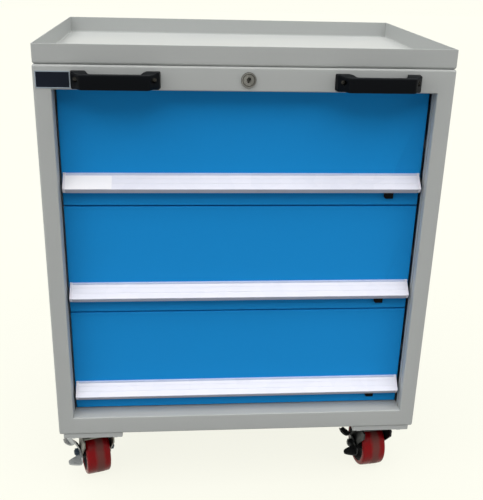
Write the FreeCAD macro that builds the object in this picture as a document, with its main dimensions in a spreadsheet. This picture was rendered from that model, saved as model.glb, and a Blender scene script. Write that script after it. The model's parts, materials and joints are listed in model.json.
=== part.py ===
import FreeCAD, Part
import math
import os
import re
import Sketcher

# Tool cabinet on four casters: three drawers, a raised tray top, a cam lock and two pull handles.
# Millimetres. +Z is up, +X is to the right seen from the front, the front faces -Y.
# The origin is on the floor, in the middle of the cabinet's box.

doc = FreeCAD.newDocument("tool_cabinet")

# Each size stands once in the sheet, as word, number and note.
dimensions = [
    ("cabinet_width", 717, "across the side panels"),
    ("cabinet_depth", 484, "front of the frame to the back"),
    ("carcass_height", 724, "housing without tray and casters"),
    ("sheet", 1.5, "thickness of the housing's sheet steel"),
    ("corner_radius", 4, "outer folds of the housing"),
    ("fold_radius", 2, "folds round the drawer opening and on drawer fronts"),
    ("panel_fit", 0.3, "free edge round a panel that sits inside the folds"),
    ("stile_width", 30, "upright at each side of the opening"),
    ("stile_return", 40, "fold of the upright into the opening"),
    ("top_rail_height", 41, "rail above the drawers"),
    ("bottom_rail_height", 38, "rail below the drawers"),
    ("rail_flange", 50, "depth of the rails' upper and lower folds"),
    ("back_flange", 20, "folds of the back panel"),
    ("tray_height", 33.5, "rim of the tray top"),
    ("tray_inset", 1.3, "tray edge behind the housing's edge"),
    ("tray_radius", 5, "fold at the foot of the tray rim"),
    ("post_depth", 27, "slide post, from side skin to slide"),
    ("post_width", 30, "slide post along the drawer's travel"),
    ("post_front", 66, "front slide post behind the frame's front"),
    ("post_back", 60, "rear slide post's front edge before the back"),
    ("drawer_recess", 34, "drawer faces behind the frame's front"),
    ("drawer_gap", 2.5, "gap above and below each drawer front"),
    ("drawer_side_gap", 2, "gap between drawer front and upright"),
    ("drawer_sheet", 1.2, "thickness of the drawers' sheet steel"),
    ("front_thickness", 18, "depth of a drawer front's folded edges"),
    ("front_return", 12, "inward fold behind a drawer front's edges"),
    ("box_length", 415, "drawer box, front to back"),
    ("box_height", 170, "drawer box side"),
    ("box_rise", 15, "drawer box above the foot of its front"),
    ("rim_height", 8, "folded upper edge of the drawer box"),
    ("rim_thickness", 3, "folded upper edge of the drawer box"),
    ("slide_thickness", 12.7, "drawer slide, post to drawer box"),
    ("slide_height", 45, "drawer slide"),
    ("slide_length", 400, "drawer slide, closed"),
    ("slide_sheet", 1.2, "steel of the slide members"),
    ("slide_rise", 80, "slide's middle above the foot of the drawer front"),
    ("slide_play", 0.3, "clearance between the nested slide members"),
    ("slide_step", 1.8, "side step from one slide member to the next"),
    ("handle_top", 61.5, "upper edge of the drawer handle above the drawer's foot"),
    ("handle_inset", 3, "drawer handle short of the drawer front's side"),
    ("handle_flange", 3, "thickness of the drawer handle's upper edge"),
    ("handle_edge", 4, "upright strip above the drawer handle's slope"),
    ("handle_slope", 20.5, "run and drop of the drawer handle's slope"),
    ("handle_lip", 8, "height of the drawer handle's lip"),
    ("handle_wall", 2, "wall of the drawer handle"),
    ("handle_curl", 6, "inward fold under the lip"),
    ("handle_nose", 1.5, "slant between the drawer handle's slope and lip"),
    ("handle_back_drop", 22, "mounting flange behind the slope"),
    ("cap_thickness", 5, "plastic end cap of the drawer handle"),
    ("cap_overhang", 0.6, "end cap proud of the handle's outline"),
    ("label_length", 82, "label strip along the handle"),
    ("label_thickness", 0.4, "label strip"),
    ("label_width", 19, "label strip down the slope, measured level"),
    ("label_offset", 0.5, "label strip from the handle's left end"),
    ("latch_width", 17, "thumb latch"),
    ("latch_height", 18, "thumb latch"),
    ("latch_depth", 6, "thumb latch"),
    ("latch_rise", 14, "thumb latch above the drawer's foot"),
    ("latch_inset", 57.5, "thumb latch's middle from the drawer front's right side"),
    ("latch_stem", 8, "width and height of the latch stem"),
    ("latch_travel", 5, "upward travel of the thumb latch"),
    ("latch_play", 0.3, "clearance round the latch"),
    ("keeper_thickness", 2, "plate that holds the latch behind the drawer front"),
    ("pull_length", 148.5, "pull handle, foot to foot"),
    ("pull_reach", 38, "pull handle before the frame's front"),
    ("pull_height", 28.5, "foot of the pull handle"),
    ("pull_grip_height", 24.5, "grip of the pull handle"),
    ("pull_grip_depth", 13, "grip of the pull handle, front to back"),
    ("pull_foot", 23.5, "foot of the pull handle along the rail"),
    ("pull_taper", 2, "lean of the pull handle's ends"),
    ("pull_end_reach", 14, "outer end of the pull handle before the frame's front"),
    ("pull_slope", 16, "slanted end of the pull handle along the rail"),
    ("pull_spacing", 128, "screws of one pull handle"),
    ("pull_inset", 136.5, "pull handle's middle from the housing's side"),
    ("pull_drop", 23.2, "pull handle's middle below the housing's top"),
    ("screw_radius", 2.5, "pull handle screw"),
    ("screw_head_radius", 4.2, "pull handle screw"),
    ("screw_head_depth", 5, "pull handle screw"),
    ("screw_seat", 15, "seat of the screw head before the frame's front"),
    ("screw_rise", 3, "screws above the pull handle's middle"),
    ("screw_play", 0.25, "clearance round screws and their heads"),
    ("nut_thickness", 4, "nut of the pull handle screw"),
    ("thread_end", 2, "screws and axles beyond their nuts"),
    ("plate_width", 56, "name plate"),
    ("plate_height", 27, "name plate"),
    ("plate_thickness", 0.8, "name plate"),
    ("plate_inset", 5, "name plate from the housing's left side"),
    ("plate_drop", 11, "name plate below the housing's top"),
    ("lock_drop", 21.5, "lock's middle below the housing's top"),
    ("lock_flange_radius", 13, "face of the lock"),
    ("lock_flange_thickness", 3, "face of the lock"),
    ("lock_flange_slant", 2, "slanted rim round the face of the lock"),
    ("plug_set_back", 0.5, "plug behind the face of the lock"),
    ("barrel_radius", 9.2, "lock barrel"),
    ("barrel_length", 22, "lock barrel behind the rail's front"),
    ("barrel_nut_radius", 12, "nut on the lock barrel"),
    ("barrel_nut_thickness", 5, "nut on the lock barrel"),
    ("plug_radius", 7.05, "turning plug of the lock"),
    ("plug_play", 0.05, "running clearance of the plug"),
    ("key_slot_width", 2.2, "keyhole"),
    ("key_slot_height", 8.6, "keyhole"),
    ("key_slot_depth", 9, "keyhole"),
    ("key_tilt", 14, "lean of the keyhole, degrees"),
    ("cam_radius", 9, "lock cam"),
    ("cam_thickness", 2.5, "lock cam"),
    ("cam_gap", 2.3, "lock cam behind the barrel"),
    ("cam_tail_radius", 4, "plug tail that carries the cam"),
    ("crank", 10, "cam pin from the lock's axis"),
    ("pin_radius", 2, "cam pin"),
    ("pin_play", 0.5, "clearance of the cam pin in the bar's slot"),
    ("bar_gap", 1.7, "lock bar behind the cam"),
    ("bar_thickness", 2, "lock bar"),
    ("bar_start", 3, "lock bar's arm right of the lock's axis"),
    ("bar_arm_height", 14, "upper arm of the lock bar"),
    ("bar_place", 3, "lock bar beyond the face of the slide posts"),
    ("bar_back", 60, "rear edge of the lock bar behind the frame's front"),
    ("bar_foot", 60, "lower end of the lock bar above the housing's foot"),
    ("hook_height", 16, "hook of the lock bar and catch of the drawer"),
    ("hook_gap", 2, "hook before the catch, and below it when unlocked"),
    ("hook_rise", 42, "catch above the slide's middle"),
    ("catch_reach", 6, "catch on the drawer box's side"),
    ("hook_clearance", 2.5, "hook short of the drawer box's side"),
    ("guide_height", 12, "guide clip of the lock bar"),
    ("guide_front", 6, "guide clip behind the lock bar's front edge"),
    ("guide_set_in", 160, "upper guide clip below the opening's top"),
    ("guide_wall", 1.5, "guide clip of the lock bar"),
    ("guide_play", 0.3, "clearance of the lock bar in its guides"),
    ("caster_height", 133, "floor to the caster's top plate"),
    ("pad_height", 10, "caster pad under the housing"),
    ("pad_width", 116, "caster pad"),
    ("pad_depth", 104, "caster pad"),
    ("pad_wall", 2, "caster pad"),
    ("pad_inset", 2, "caster pad behind the housing's front and back"),
    ("pad_side_inset", 8, "caster pad from the housing's side"),
    ("mount_plate_width", 105, "caster top plate"),
    ("mount_plate_depth", 88, "caster top plate"),
    ("mount_plate_thickness", 4, "caster top plate"),
    ("bolt_place_x", 42, "caster bolts from the swivel axis"),
    ("bolt_place_y", 34, "caster bolts from the swivel axis"),
    ("bolt_radius", 4, "caster bolt"),
    ("bolt_head_radius", 7.5, "caster bolt head and nut, over corners"),
    ("bolt_head_thickness", 5.3, "caster bolt head and nut"),
    ("bolt_play", 0.5, "clearance round a caster bolt"),
    ("wheel_radius", 50, "caster wheel"),
    ("wheel_width", 50, "tread of a caster wheel"),
    ("tread_thickness", 10, "tread of a caster wheel"),
    ("tread_round", 4, "shoulder of the tread"),
    ("tread_seat", 0.05, "glue line between wheel body and tread"),
    ("hub_radius", 14, "wheel hub"),
    ("hub_overhang", 3, "wheel hub beyond the tread's side"),
    ("rim_inset", 1.5, "wheel rim inside the tread's side"),
    ("wheel_rim", 8, "wheel rim"),
    ("wheel_web", 24, "web between hub and rim"),
    ("axle_radius", 5, "caster axle"),
    ("axle_play", 0.08, "running clearance on the axle"),
    ("axle_nut_radius", 9, "caster axle nut, over corners"),
    ("axle_nut_thickness", 7, "caster axle nut"),
    ("leg_gap", 0.5, "wheel hub to caster leg"),
    ("leg_thickness", 3, "caster leg"),
    ("leg_end_radius", 14, "foot of the caster leg round the axle"),
    ("trail", 27, "wheel behind the swivel axis"),
    ("crown_half", 30, "caster crown behind its axis, and half a rear bracket"),
    ("crown_front", 17, "front caster crown before its axis"),
    ("leg_front", 28, "front caster legs before the swivel axis"),
    ("crown_thickness", 3, "caster crown"),
    ("wheel_headroom", 6, "crown above the wheel"),
    ("race_radius", 21, "swivel bearing housing"),
    ("race_height", 10.7, "swivel bearing housing"),
    ("swivel_play", 0.3, "clearance in the swivel bearing"),
    ("kingpin_radius", 6, "swivel pin"),
    ("kingpin_head_radius", 11, "swivel pin"),
    ("kingpin_head_thickness", 3.4, "swivel pin"),
    ("left_yaw", 17, "turn of the left front caster, degrees"),
    ("right_yaw", 8, "turn of the right front caster, degrees"),
    ("lever_thickness", 3, "brake lever"),
    ("lever_hub", 13, "brake lever round the axle"),
    ("lever_up", 30, "upper foot tab above the axle"),
    ("lever_drop", 6, "front foot tab below the axle"),
    ("lever_front", 33, "front foot tab before the axle"),
    ("lever_tab", 25, "foot tabs beyond the lever plate"),
    ("lever_back", 4, "rear edge of the brake lever beyond its hub"),
    ("lever_clip", 8, "slant at the outer end of the upper foot tab"),
    ("lever_play", 0.3, "clearance of the brake lever"),
]

sizes = doc.addObject("Spreadsheet::Sheet", "Sizes")
formulas = {}
for row, (word, number, note) in enumerate(dimensions, 1):
    sizes.set(f"A{row}", word)
    sizes.set(f"B{row}", str(number))
    sizes.set(f"C{row}", note)
    sizes.setAlias(f"B{row}", word)
    formulas[word] = f"Sizes.{word}"


def bind(text):
    # turns a formula written with size words into one that reads the sheet
    return re.sub(r"[a-z][a-z_]*", lambda match: formulas.get(match.group(), match.group()), str(text))


def value(text):
    return float(sizes.evalExpression(bind(text)))


# Places that more than one piece uses, worked out from the sizes.
places = [
    ("half", "cabinet_width / 2"),
    ("front", "-(cabinet_depth - pull_reach) / 2"),
    ("back", "front + cabinet_depth"),
    ("base", "caster_height + pad_height"),
    ("top", "base + carcass_height"),
    ("stile", "half - stile_width"),
    ("opening_low", "base + bottom_rail_height"),
    ("opening_high", "top - top_rail_height"),
    ("face", "front + drawer_recess"),
    ("inner_half", "half - corner_radius - panel_fit"),
    ("post_face", "half - sheet - post_depth"),
    ("drawer_pitch", "(opening_high - opening_low - drawer_gap) / 3"),
    ("front_height", "drawer_pitch - drawer_gap"),
    ("front_half", "stile - drawer_side_gap"),
    ("latch_place", "front_half - latch_inset"),
    ("latch_middle", "latch_rise + latch_height / 2"),
    ("pull_place", "half - pull_inset"),
    ("screw_height", "top - pull_drop + screw_rise"),
    ("box_half", "post_face - slide_thickness"),
    ("handle_half", "front_half - handle_inset"),
    ("slide_front", "front + post_front"),
    ("lock_height", "top - lock_drop"),
    ("crank_drop", "crank * sqrt(0.5)"),
    ("bar_front", "barrel_length + cam_gap + cam_thickness + bar_gap"),
    ("bar_side", "post_face + bar_place"),
    ("caster_x", "half - pad_side_inset - pad_width / 2"),
    ("front_caster_y", "front + pad_inset + pad_depth / 2"),
    ("rear_caster_y", "back - pad_inset - pad_depth / 2"),
    ("plate_foot", "caster_height - mount_plate_thickness"),
    ("hub_half", "wheel_width / 2 + hub_overhang"),
    ("leg_inside", "hub_half + leg_gap"),
    ("leg_outside", "leg_inside + leg_thickness"),
    ("crown_low", "2 * wheel_radius + wheel_headroom"),
    ("race_low", "plate_foot - race_height"),
]
for word, text in places:
    formulas[word] = f"({bind(text)})"
doc.recompute()

subparts = {}


def name_part(made, label, x="0", y="0", z="0", yaw=None):
    # gives a finished sub-part its label and its place
    made.Label = label
    for side, text in zip("xyz", (x, y, z)):
        made.setExpression(f"Placement.Base.{side}", bind(text))
    if yaw:
        made.setExpression("Placement.Rotation.Angle", bind(yaw))
    subparts[label] = made
    return made


def block(name, x, y, z):
    made = doc.addObject("Part::Box", name)
    for length, side, (low, high) in zip(("Length", "Width", "Height"), "xyz", (x, y, z)):
        made.setExpression(length, bind(f"({high}) - ({low})"))
        made.setExpression(f"Placement.Base.{side}", bind(low))
    return made


turns = {
    "x": FreeCAD.Rotation(FreeCAD.Vector(0, 1, 0), 90),
    "y": FreeCAD.Rotation(FreeCAD.Vector(1, 0, 0), -90),
    "z": FreeCAD.Rotation(),
}


def aim(made, axis, start):
    made.Placement = FreeCAD.Placement(FreeCAD.Vector(), turns[axis])
    for side, text in zip("xyz", start):
        made.setExpression(f"Placement.Base.{side}", bind(text))
    return made


def rod(name, axis, radius, length, start):
    made = doc.addObject("Part::Cylinder", name)
    made.setExpression("Radius", bind(radius))
    made.setExpression("Height", bind(length))
    return aim(made, axis, start)


def hexagon(name, axis, radius, length, start):
    made = doc.addObject("Part::Prism", name)
    made.Polygon = 6
    made.setExpression("Circumradius", bind(radius))
    made.setExpression("Height", bind(length))
    return aim(made, axis, start)


def cut(name, base, *tools):
    made = doc.addObject("Part::Cut", name)
    made.Base = base
    made.Tool = tools[0] if len(tools) == 1 else fuse(name + "_tools", *tools)
    return made


def fuse(name, *shapes):
    made = doc.addObject("Part::MultiFuse", name)
    made.Shapes = list(shapes)
    made.Refine = True
    return made


def group(name, *shapes):
    made = doc.addObject("Part::Compound", name)
    made.Links = list(shapes)
    return made


def mirrored(name, source):
    made = doc.addObject("Part::Mirroring", name)
    made.Source = source
    made.Base = FreeCAD.Vector(0, 0, 0)
    made.Normal = FreeCAD.Vector(1, 0, 0)
    return made


def middle_of(edge):
    return edge.valueAt((edge.FirstParameter + edge.LastParameter) / 2)


def rounded(name, base, radius, wanted):
    # rounds the edges of a primitive whose middle passes the test
    doc.recompute()
    size = value(radius)
    made = doc.addObject("Part::Fillet", name)
    made.Base = base
    edges = []
    for number, edge in enumerate(base.Shape.Edges, 1):
        if wanted(middle_of(edge)):
            edges.append((number, size, size))
    made.Edges = edges
    return made


# Whether a sketch plane's normal runs with its axis or against it.
facing = {"XY": 1, "YZ": 1, "XZ": -1}


def new_body(name):
    return doc.addObject("PartDesign::Body", name)


def draw(body, name, plane, points=(), circles=(), at="0"):
    # a sketch on one of the body's own planes, moved along its normal, every point tied to the sheet
    sketch = body.newObject("Sketcher::SketchObject", name)
    support = [plane_of for plane_of in body.Origin.OriginFeatures if plane_of.Role == plane + "_Plane"][0]
    sketch.AttachmentSupport = [(support, "")]
    sketch.MapMode = "FlatFace"
    sketch.setExpression("AttachmentOffset.Base.z", bind(at))
    spots = [FreeCAD.Vector(value(u), value(v), 0) for u, v in points]
    for number, spot in enumerate(spots):
        sketch.addGeometry(Part.LineSegment(spot, spots[(number + 1) % len(spots)]))
    for number in range(len(spots)):
        sketch.addConstraint(Sketcher.Constraint("Coincident", number, 2, (number + 1) % len(spots), 1))
    for number, (u, v) in enumerate(points):
        for kind, text in (("DistanceX", u), ("DistanceY", v)):
            tie = sketch.addConstraint(Sketcher.Constraint(kind, -1, 1, number, 1, value(text)))
            sketch.setExpression(f"Constraints[{tie}]", bind(text))
    for u, v, radius in circles:
        centre = FreeCAD.Vector(value(u), value(v), 0)
        ring = sketch.addGeometry(Part.Circle(centre, FreeCAD.Vector(0, 0, 1), value(radius)))
        for kind, text in (("DistanceX", u), ("DistanceY", v)):
            tie = sketch.addConstraint(Sketcher.Constraint(kind, -1, 1, ring, 3, value(text)))
            sketch.setExpression(f"Constraints[{tie}]", bind(text))
        tie = sketch.addConstraint(Sketcher.Constraint("Radius", ring, value(radius)))
        sketch.setExpression(f"Constraints[{tie}]", bind(radius))
    return sketch


def rectangle(u, v):
    return [(u[0], v[0]), (u[1], v[0]), (u[1], v[1]), (u[0], v[1])]


def through(spots):
    # a test for edges that pass through one of the given points
    points = [Part.Vertex(FreeCAD.Vector(*[value(text) for text in spot])) for spot in spots]
    return lambda edge: any(edge.distToShape(point)[0] < 1e-4 for point in points)


def round_off(body, name, radius, wanted):
    # rounds those edges of the body that pass the test
    doc.recompute()
    base = body.Tip
    edges = [f"Edge{number}" for number, edge in enumerate(base.Shape.Edges, 1) if wanted(edge)]
    made = body.newObject("PartDesign::Fillet", name)
    made.Base = (base, edges)
    made.setExpression("Radius", bind(radius))
    body.Tip = made
    return made


def pad(body, name, plane, low, high, points=(), circles=(), rounds=()):
    # extrudes an outline from low to high along the plane's axis; rounds are (corner numbers, radius)
    start = low if facing[plane] > 0 else f"-({high})"
    made = body.newObject("PartDesign::Pad", name)
    made.Profile = draw(body, name + "_sketch", plane, points, circles, start)
    made.setExpression("Length", bind(f"({high}) - ({low})"))
    body.Tip = made
    middle = f"(({low}) + ({high})) / 2"
    for number, (corners, radius) in enumerate(rounds, 1):
        spots = []
        for corner in corners:
            u, v = points[corner]
            spots.append({"XY": (u, v, middle), "YZ": (middle, u, v), "XZ": (u, middle, v)}[plane])
        round_off(body, f"{name}_round_{number}", radius, through(spots))
    return made


def pocket(body, name, plane, low, high, points=(), circles=()):
    # cuts an outline away between low and high along the plane's axis
    doc.recompute()
    before = body.Tip.Shape.Volume
    start = high if facing[plane] > 0 else f"-({low})"
    made = body.newObject("PartDesign::Pocket", name)
    made.Profile = draw(body, name + "_sketch", plane, points, circles, start)
    made.setExpression("Length", bind(f"({high}) - ({low})"))
    body.Tip = made
    doc.recompute()
    if made.Shape.Volume > before - 1e-3:
        raise RuntimeError(f"{name} cuts nothing")
    return made


def turned(body, name, plane, points, axis):
    made = body.newObject("PartDesign::Revolution", name)
    sketch = draw(body, name + "_sketch", plane, points)
    made.Profile = sketch
    made.ReferenceAxis = (sketch, [axis])
    made.Angle = 360
    body.Tip = made
    return made


# Side panels: a folded pan whose front fold is the upright, with a return into the opening.
def side_panel():
    low, high = value("stile"), 0.01

    def off_the_mouth(middle):
        return middle.x > low + high

    skin = block("side_skin", ("stile", "half"), ("front", "back"), ("base", "top"))
    skin = rounded("side_skin_round", skin, "corner_radius", off_the_mouth)
    hollow = block("side_hollow", ("stile", "half - sheet"), ("front + sheet", "back - sheet"),
                   ("base + sheet", "top - sheet"))
    hollow = rounded("side_hollow_round", hollow, "corner_radius - sheet", off_the_mouth)
    corner = block("side_corner", ("stile", "stile + 2 * fold_radius"), ("front", "front + sheet"),
                   ("opening_low", "opening_high"))
    pan = cut("side_pan", skin, hollow, corner)
    lip = block("side_return", ("stile", "stile + 2 * fold_radius"), ("front", "front + stile_return"),
                ("opening_low", "opening_high"))
    left, front = value("stile"), value("front")

    def on_the_fold(middle):
        return abs(middle.x - left) < 0.01 and abs(middle.y - front) < 0.01

    lip = rounded("side_return_round", lip, "fold_radius", on_the_fold)
    behind = block("side_return_hollow", ("stile + sheet", "stile + 2 * fold_radius"),
                   ("front + sheet", "front + stile_return"), ("opening_low", "opening_high"))
    return fuse("side", pan, cut("side_lip", lip, behind))


right_side = name_part(side_panel(), "right_side_panel")
name_part(mirrored("left_side", right_side), "left_side_panel")


# Rails: channels between the uprights, open to the back.
def rail(name, low, high, low_radius, high_radius):
    body = new_body(name)
    points = [
        ("front + rail_flange", low),
        ("front", low),
        ("front", high),
        ("front + rail_flange", high),
        ("front + rail_flange", f"{high} - sheet"),
        ("front + sheet", f"{high} - sheet"),
        ("front + sheet", f"{low} + sheet"),
        ("front + rail_flange", f"{low} + sheet"),
    ]
    wide_corner, wide_inside = (2, 5) if high_radius == "corner_radius" else (1, 6)
    rounds = [((3 - wide_corner,), "fold_radius"), ((wide_corner,), "corner_radius")]
    rounds.append(((wide_inside,), "corner_radius - sheet"))
    pad(body, name + "_channel", "YZ", "-stile", "stile", points, rounds=rounds)
    return body


top_rail = rail("top_rail_body", "opening_high", "top", "fold_radius", "corner_radius")
rail_holes = [("0", "lock_height", "barrel_radius + panel_fit / 3")]
for side in ("-", ""):
    for screw in ("-", "+"):
        hole_x = f"{side}pull_place {screw} pull_spacing / 2"
        rail_holes.append((hole_x, "screw_height", "screw_radius + screw_play"))
pocket(top_rail, "rail_holes", "XZ", "front - 1", "front + 2 * sheet", circles=rail_holes)
name_part(top_rail, "top_rail")
name_part(rail("bottom_rail_body", "base", "opening_low", "corner_radius", "fold_radius"), "bottom_rail")

# Sheets that close the housing: bottom, back and the deck under the tray.
front_edge = "front + corner_radius + panel_fit"
across = ("-inner_half", "inner_half")
back_edge = "back - corner_radius - panel_fit"
bottom = block("bottom_sheet", across, (front_edge, back_edge), ("base + sheet", "base + 2 * sheet"))
name_part(group("bottom_group", bottom), "bottom_panel")
deck = block("deck_sheet", across, (front_edge, back_edge), ("top - 2 * sheet", "top - sheet"))
name_part(group("deck_group", deck), "top_deck")
back_body = new_body("back_body")
back_points = [
    ("back - sheet - back_flange", "base + 2 * sheet"),
    ("back - sheet", "base + 2 * sheet"),
    ("back - sheet", "top - 2 * sheet"),
    ("back - sheet - back_flange", "top - 2 * sheet"),
    ("back - sheet - back_flange", "top - 3 * sheet"),
    ("back - 2 * sheet", "top - 3 * sheet"),
    ("back - 2 * sheet", "base + 3 * sheet"),
    ("back - sheet - back_flange", "base + 3 * sheet"),
]
pad(back_body, "back_sheet", "YZ", "-inner_half", "inner_half", back_points, rounds=[((1, 2), "fold_radius")])
name_part(back_body, "back_panel")

# Tray top: a shallow pan with rounded folds at its foot.
tray_body = new_body("tray_body")
tray_x = ("-half + tray_inset", "half - tray_inset")
tray_y = ("front + tray_inset", "back - tray_inset")
pad(tray_body, "tray_block", "XY", "top", "top + tray_height", rectangle(tray_x, tray_y))
tray_foot = [(x, "0", "top") for x in tray_x] + [("0", y, "top") for y in tray_y]
round_off(tray_body, "tray_foot", "tray_radius", through(tray_foot))
bed_x = ("-half + tray_inset + sheet", "half - tray_inset - sheet")
bed_y = ("front + tray_inset + sheet", "back - tray_inset - sheet")
pocket(tray_body, "tray_hollow", "XY", "top + sheet", "top + tray_height", rectangle(bed_x, bed_y))
tray_bed = [(x, "0", "top + sheet") for x in bed_x] + [("0", y, "top + sheet") for y in bed_y]
round_off(tray_body, "tray_bed", "tray_radius - sheet", through(tray_bed))
name_part(tray_body, "top_tray")


# Slide posts: four upright channels that carry the slides.
def slide_post(name, low):
    height = ("base + corner_radius + panel_fit", "top - corner_radius - panel_fit")
    outer = block(name + "_outer", ("post_face", "half - sheet"), (low, f"{low} + post_width"), height)
    inner = block(name + "_inner", ("post_face + sheet", "half - sheet"),
                  (f"{low} + sheet", f"{low} + post_width - sheet"), height)
    return cut(name, outer, inner)


right_posts = [slide_post("front_post", "slide_front"), slide_post("rear_post", "back - post_back")]
left_posts = [mirrored("left_" + post.Name, post) for post in right_posts]
name_part(group("posts", *right_posts, *left_posts), "slide_posts")


# Slides: nested channels along Y. Each member is drawn about the slide's middle height, on the right.
def slide_member(name, web, tips, half_height, toward):
    # web is the distance of the web's far side from the post face, tips that of the flanges' ends
    body = new_body(name)
    near = f"post_face - ({web})"
    tip = f"post_face - ({tips})"
    points = [
        (tip, half_height),
        (near, half_height),
        (near, f"-({half_height})"),
        (tip, f"-({half_height})"),
        (tip, f"-({half_height} - slide_sheet)"),
        (f"{near} {toward} slide_sheet", f"-({half_height} - slide_sheet)"),
        (f"{near} {toward} slide_sheet", f"{half_height} - slide_sheet"),
        (tip, f"{half_height} - slide_sheet"),
    ]
    pad(body, name + "_channel", "XZ", "0", "slide_length", points)
    return group(name + "_pair", body, mirrored(name + "_left", body))


cabinet_half = "slide_height / 2"
middle_half = "slide_height / 2 - slide_sheet - slide_play"
drawer_half = "slide_height / 2 - 2 * slide_sheet - 2 * slide_play"
first_tip = "slide_thickness - slide_sheet - slide_step"
middle_web = "slide_sheet + slide_step"
middle_tip = "slide_thickness - slide_sheet - slide_play"
drawer_tip = "2 * slide_sheet + slide_step + 2 * slide_play"

# Drawers, counted from the top. Each is drawn about the middle of its face's lower edge.
lip_face = "-handle_flange - handle_slope - handle_nose"
lip_foot = "handle_top - handle_edge - handle_slope - handle_lip"
handle_outline = [
    ("0", "handle_top"),
    ("-handle_flange", "handle_top"),
    ("-handle_flange", "handle_top - handle_edge"),
    ("-handle_flange - handle_slope", "handle_top - handle_edge - handle_slope"),
    (lip_face, "handle_top - handle_edge - handle_slope - handle_nose"),
    (lip_face, lip_foot),
]
handle_hollow = [
    (f"{lip_face} + handle_curl", lip_foot),
    (f"{lip_face} + handle_curl", f"{lip_foot} + handle_wall"),
    (f"{lip_face} + handle_wall", f"{lip_foot} + handle_wall"),
    (f"{lip_face} + handle_wall", "handle_top - handle_edge - handle_slope - handle_wall"),
    ("-handle_flange - handle_wall / 2", "handle_top - handle_edge - 1.5 * handle_wall"),
    ("-handle_wall", "handle_top - handle_edge - 2 * handle_wall"),
    ("-handle_wall", "handle_top - handle_back_drop"),
    ("0", "handle_top - handle_back_drop"),
]
catch_y = "front + bar_back + hook_gap / 2 - face"
catch_low = "slide_rise + hook_rise"


def drawer_front(name):
    body = new_body(name)
    outline = rectangle(("-front_half", "front_half"), ("0", "front_height"))
    pad(body, name + "_block", "XZ", "0", "front_thickness", outline)
    edges = [("-front_half", "0", "front_height / 2"), ("front_half", "0", "front_height / 2")]
    edges += [("0", "0", "0"), ("0", "0", "front_height")]
    round_off(body, name + "_fold", "fold_radius", through(edges))
    window = rectangle(("-front_half + front_return", "front_half - front_return"),
                       ("front_return", "front_height - front_return"))
    pocket(body, name + "_window", "XZ", "drawer_sheet", "front_thickness", window)
    hollow = rectangle(("-front_half + drawer_sheet", "front_half - drawer_sheet"),
                       ("drawer_sheet", "front_height - drawer_sheet"))
    pocket(body, name + "_hollow", "XZ", "drawer_sheet", "front_thickness - drawer_sheet", hollow)
    half_slot = "(latch_stem / 2 + latch_play)"
    slot = rectangle((f"latch_place - {half_slot}", f"latch_place + {half_slot}"),
                     (f"latch_middle - {half_slot}", f"latch_middle + latch_travel + {half_slot}"))
    pocket(body, name + "_slot", "XZ", "-1", "drawer_sheet + 1", slot)
    return body


def drawer_box(name):
    length = ("front_thickness", "front_thickness + box_length")
    outer = block(name + "_outer", ("-box_half", "box_half"), length, ("box_rise", "box_rise + box_height"))
    sheet_y = (f"{length[0]} + drawer_sheet", f"{length[1]} - drawer_sheet")
    bay = block(name + "_bay", ("-box_half + drawer_sheet", "box_half - drawer_sheet"), sheet_y,
                ("box_rise + drawer_sheet", "box_rise + box_height - rim_height"))
    rim_y = (f"{length[0]} + rim_thickness", f"{length[1]} - rim_thickness")
    mouth = block(name + "_mouth", ("-box_half + rim_thickness", "box_half - rim_thickness"), rim_y,
                  ("box_rise + box_height - rim_height", "box_rise + box_height"))
    catch = block(name + "_catch", ("box_half", "box_half + catch_reach"),
                  (catch_y, f"{catch_y} + bar_thickness"), (catch_low, f"{catch_low} + hook_height"))
    return group(name, cut(name + "_shell", outer, bay, mouth), catch)


def drawer_handle(name):
    body = new_body(name)
    width = "handle_half - cap_thickness"
    pad(body, name + "_bar", "YZ", f"-({width})", width, handle_outline + handle_hollow,
        rounds=[((3, 4), "handle_wall / 4")])
    return body


def end_caps(name):
    body = new_body(name)
    grow = "cap_overhang"
    points = [
        ("0", f"handle_top + {grow}"),
        (f"-handle_flange - {grow}", f"handle_top + {grow}"),
        (f"-handle_flange - {grow}", "handle_top - handle_edge"),
        (f"{lip_face} - {grow}", "handle_top - handle_edge - handle_slope - handle_nose"),
        (f"{lip_face} - {grow}", f"{lip_foot} - {grow}"),
        (f"{lip_face} + handle_curl", f"{lip_foot} - {grow}"),
        ("0", "handle_top - handle_back_drop"),
    ]
    pad(body, name + "_plate", "YZ", "handle_half - cap_thickness", "handle_half", points,
        rounds=[((3, 4), "handle_wall / 2")])
    return group(name + "_pair", body, mirrored(name + "_left", body))


def drawer_latch(name):
    body = new_body(name)
    sides = ("latch_place - latch_width / 2", "latch_place + latch_width / 2")
    pad(body, name + "_button", "XZ", "-latch_play - latch_depth", "-latch_play",
        rectangle(sides, ("latch_rise", "latch_rise + latch_height")),
        rounds=[((0,), "latch_width / 4"), ((1,), "latch_play * 5")])
    stem = rectangle(("latch_place - latch_stem / 2", "latch_place + latch_stem / 2"),
                     ("latch_middle - latch_stem / 2", "latch_middle + latch_stem / 2"))
    keeper_low = "drawer_sheet + latch_play"
    keeper_high = f"{keeper_low} + keeper_thickness"
    pad(body, name + "_stem", "XZ", "-latch_play - latch_depth / 2", keeper_high, stem)
    keeper = rectangle(sides, ("latch_rise", "latch_rise + latch_height"))
    pad(body, name + "_keeper", "XZ", keeper_low, keeper_high, keeper)
    return body


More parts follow.
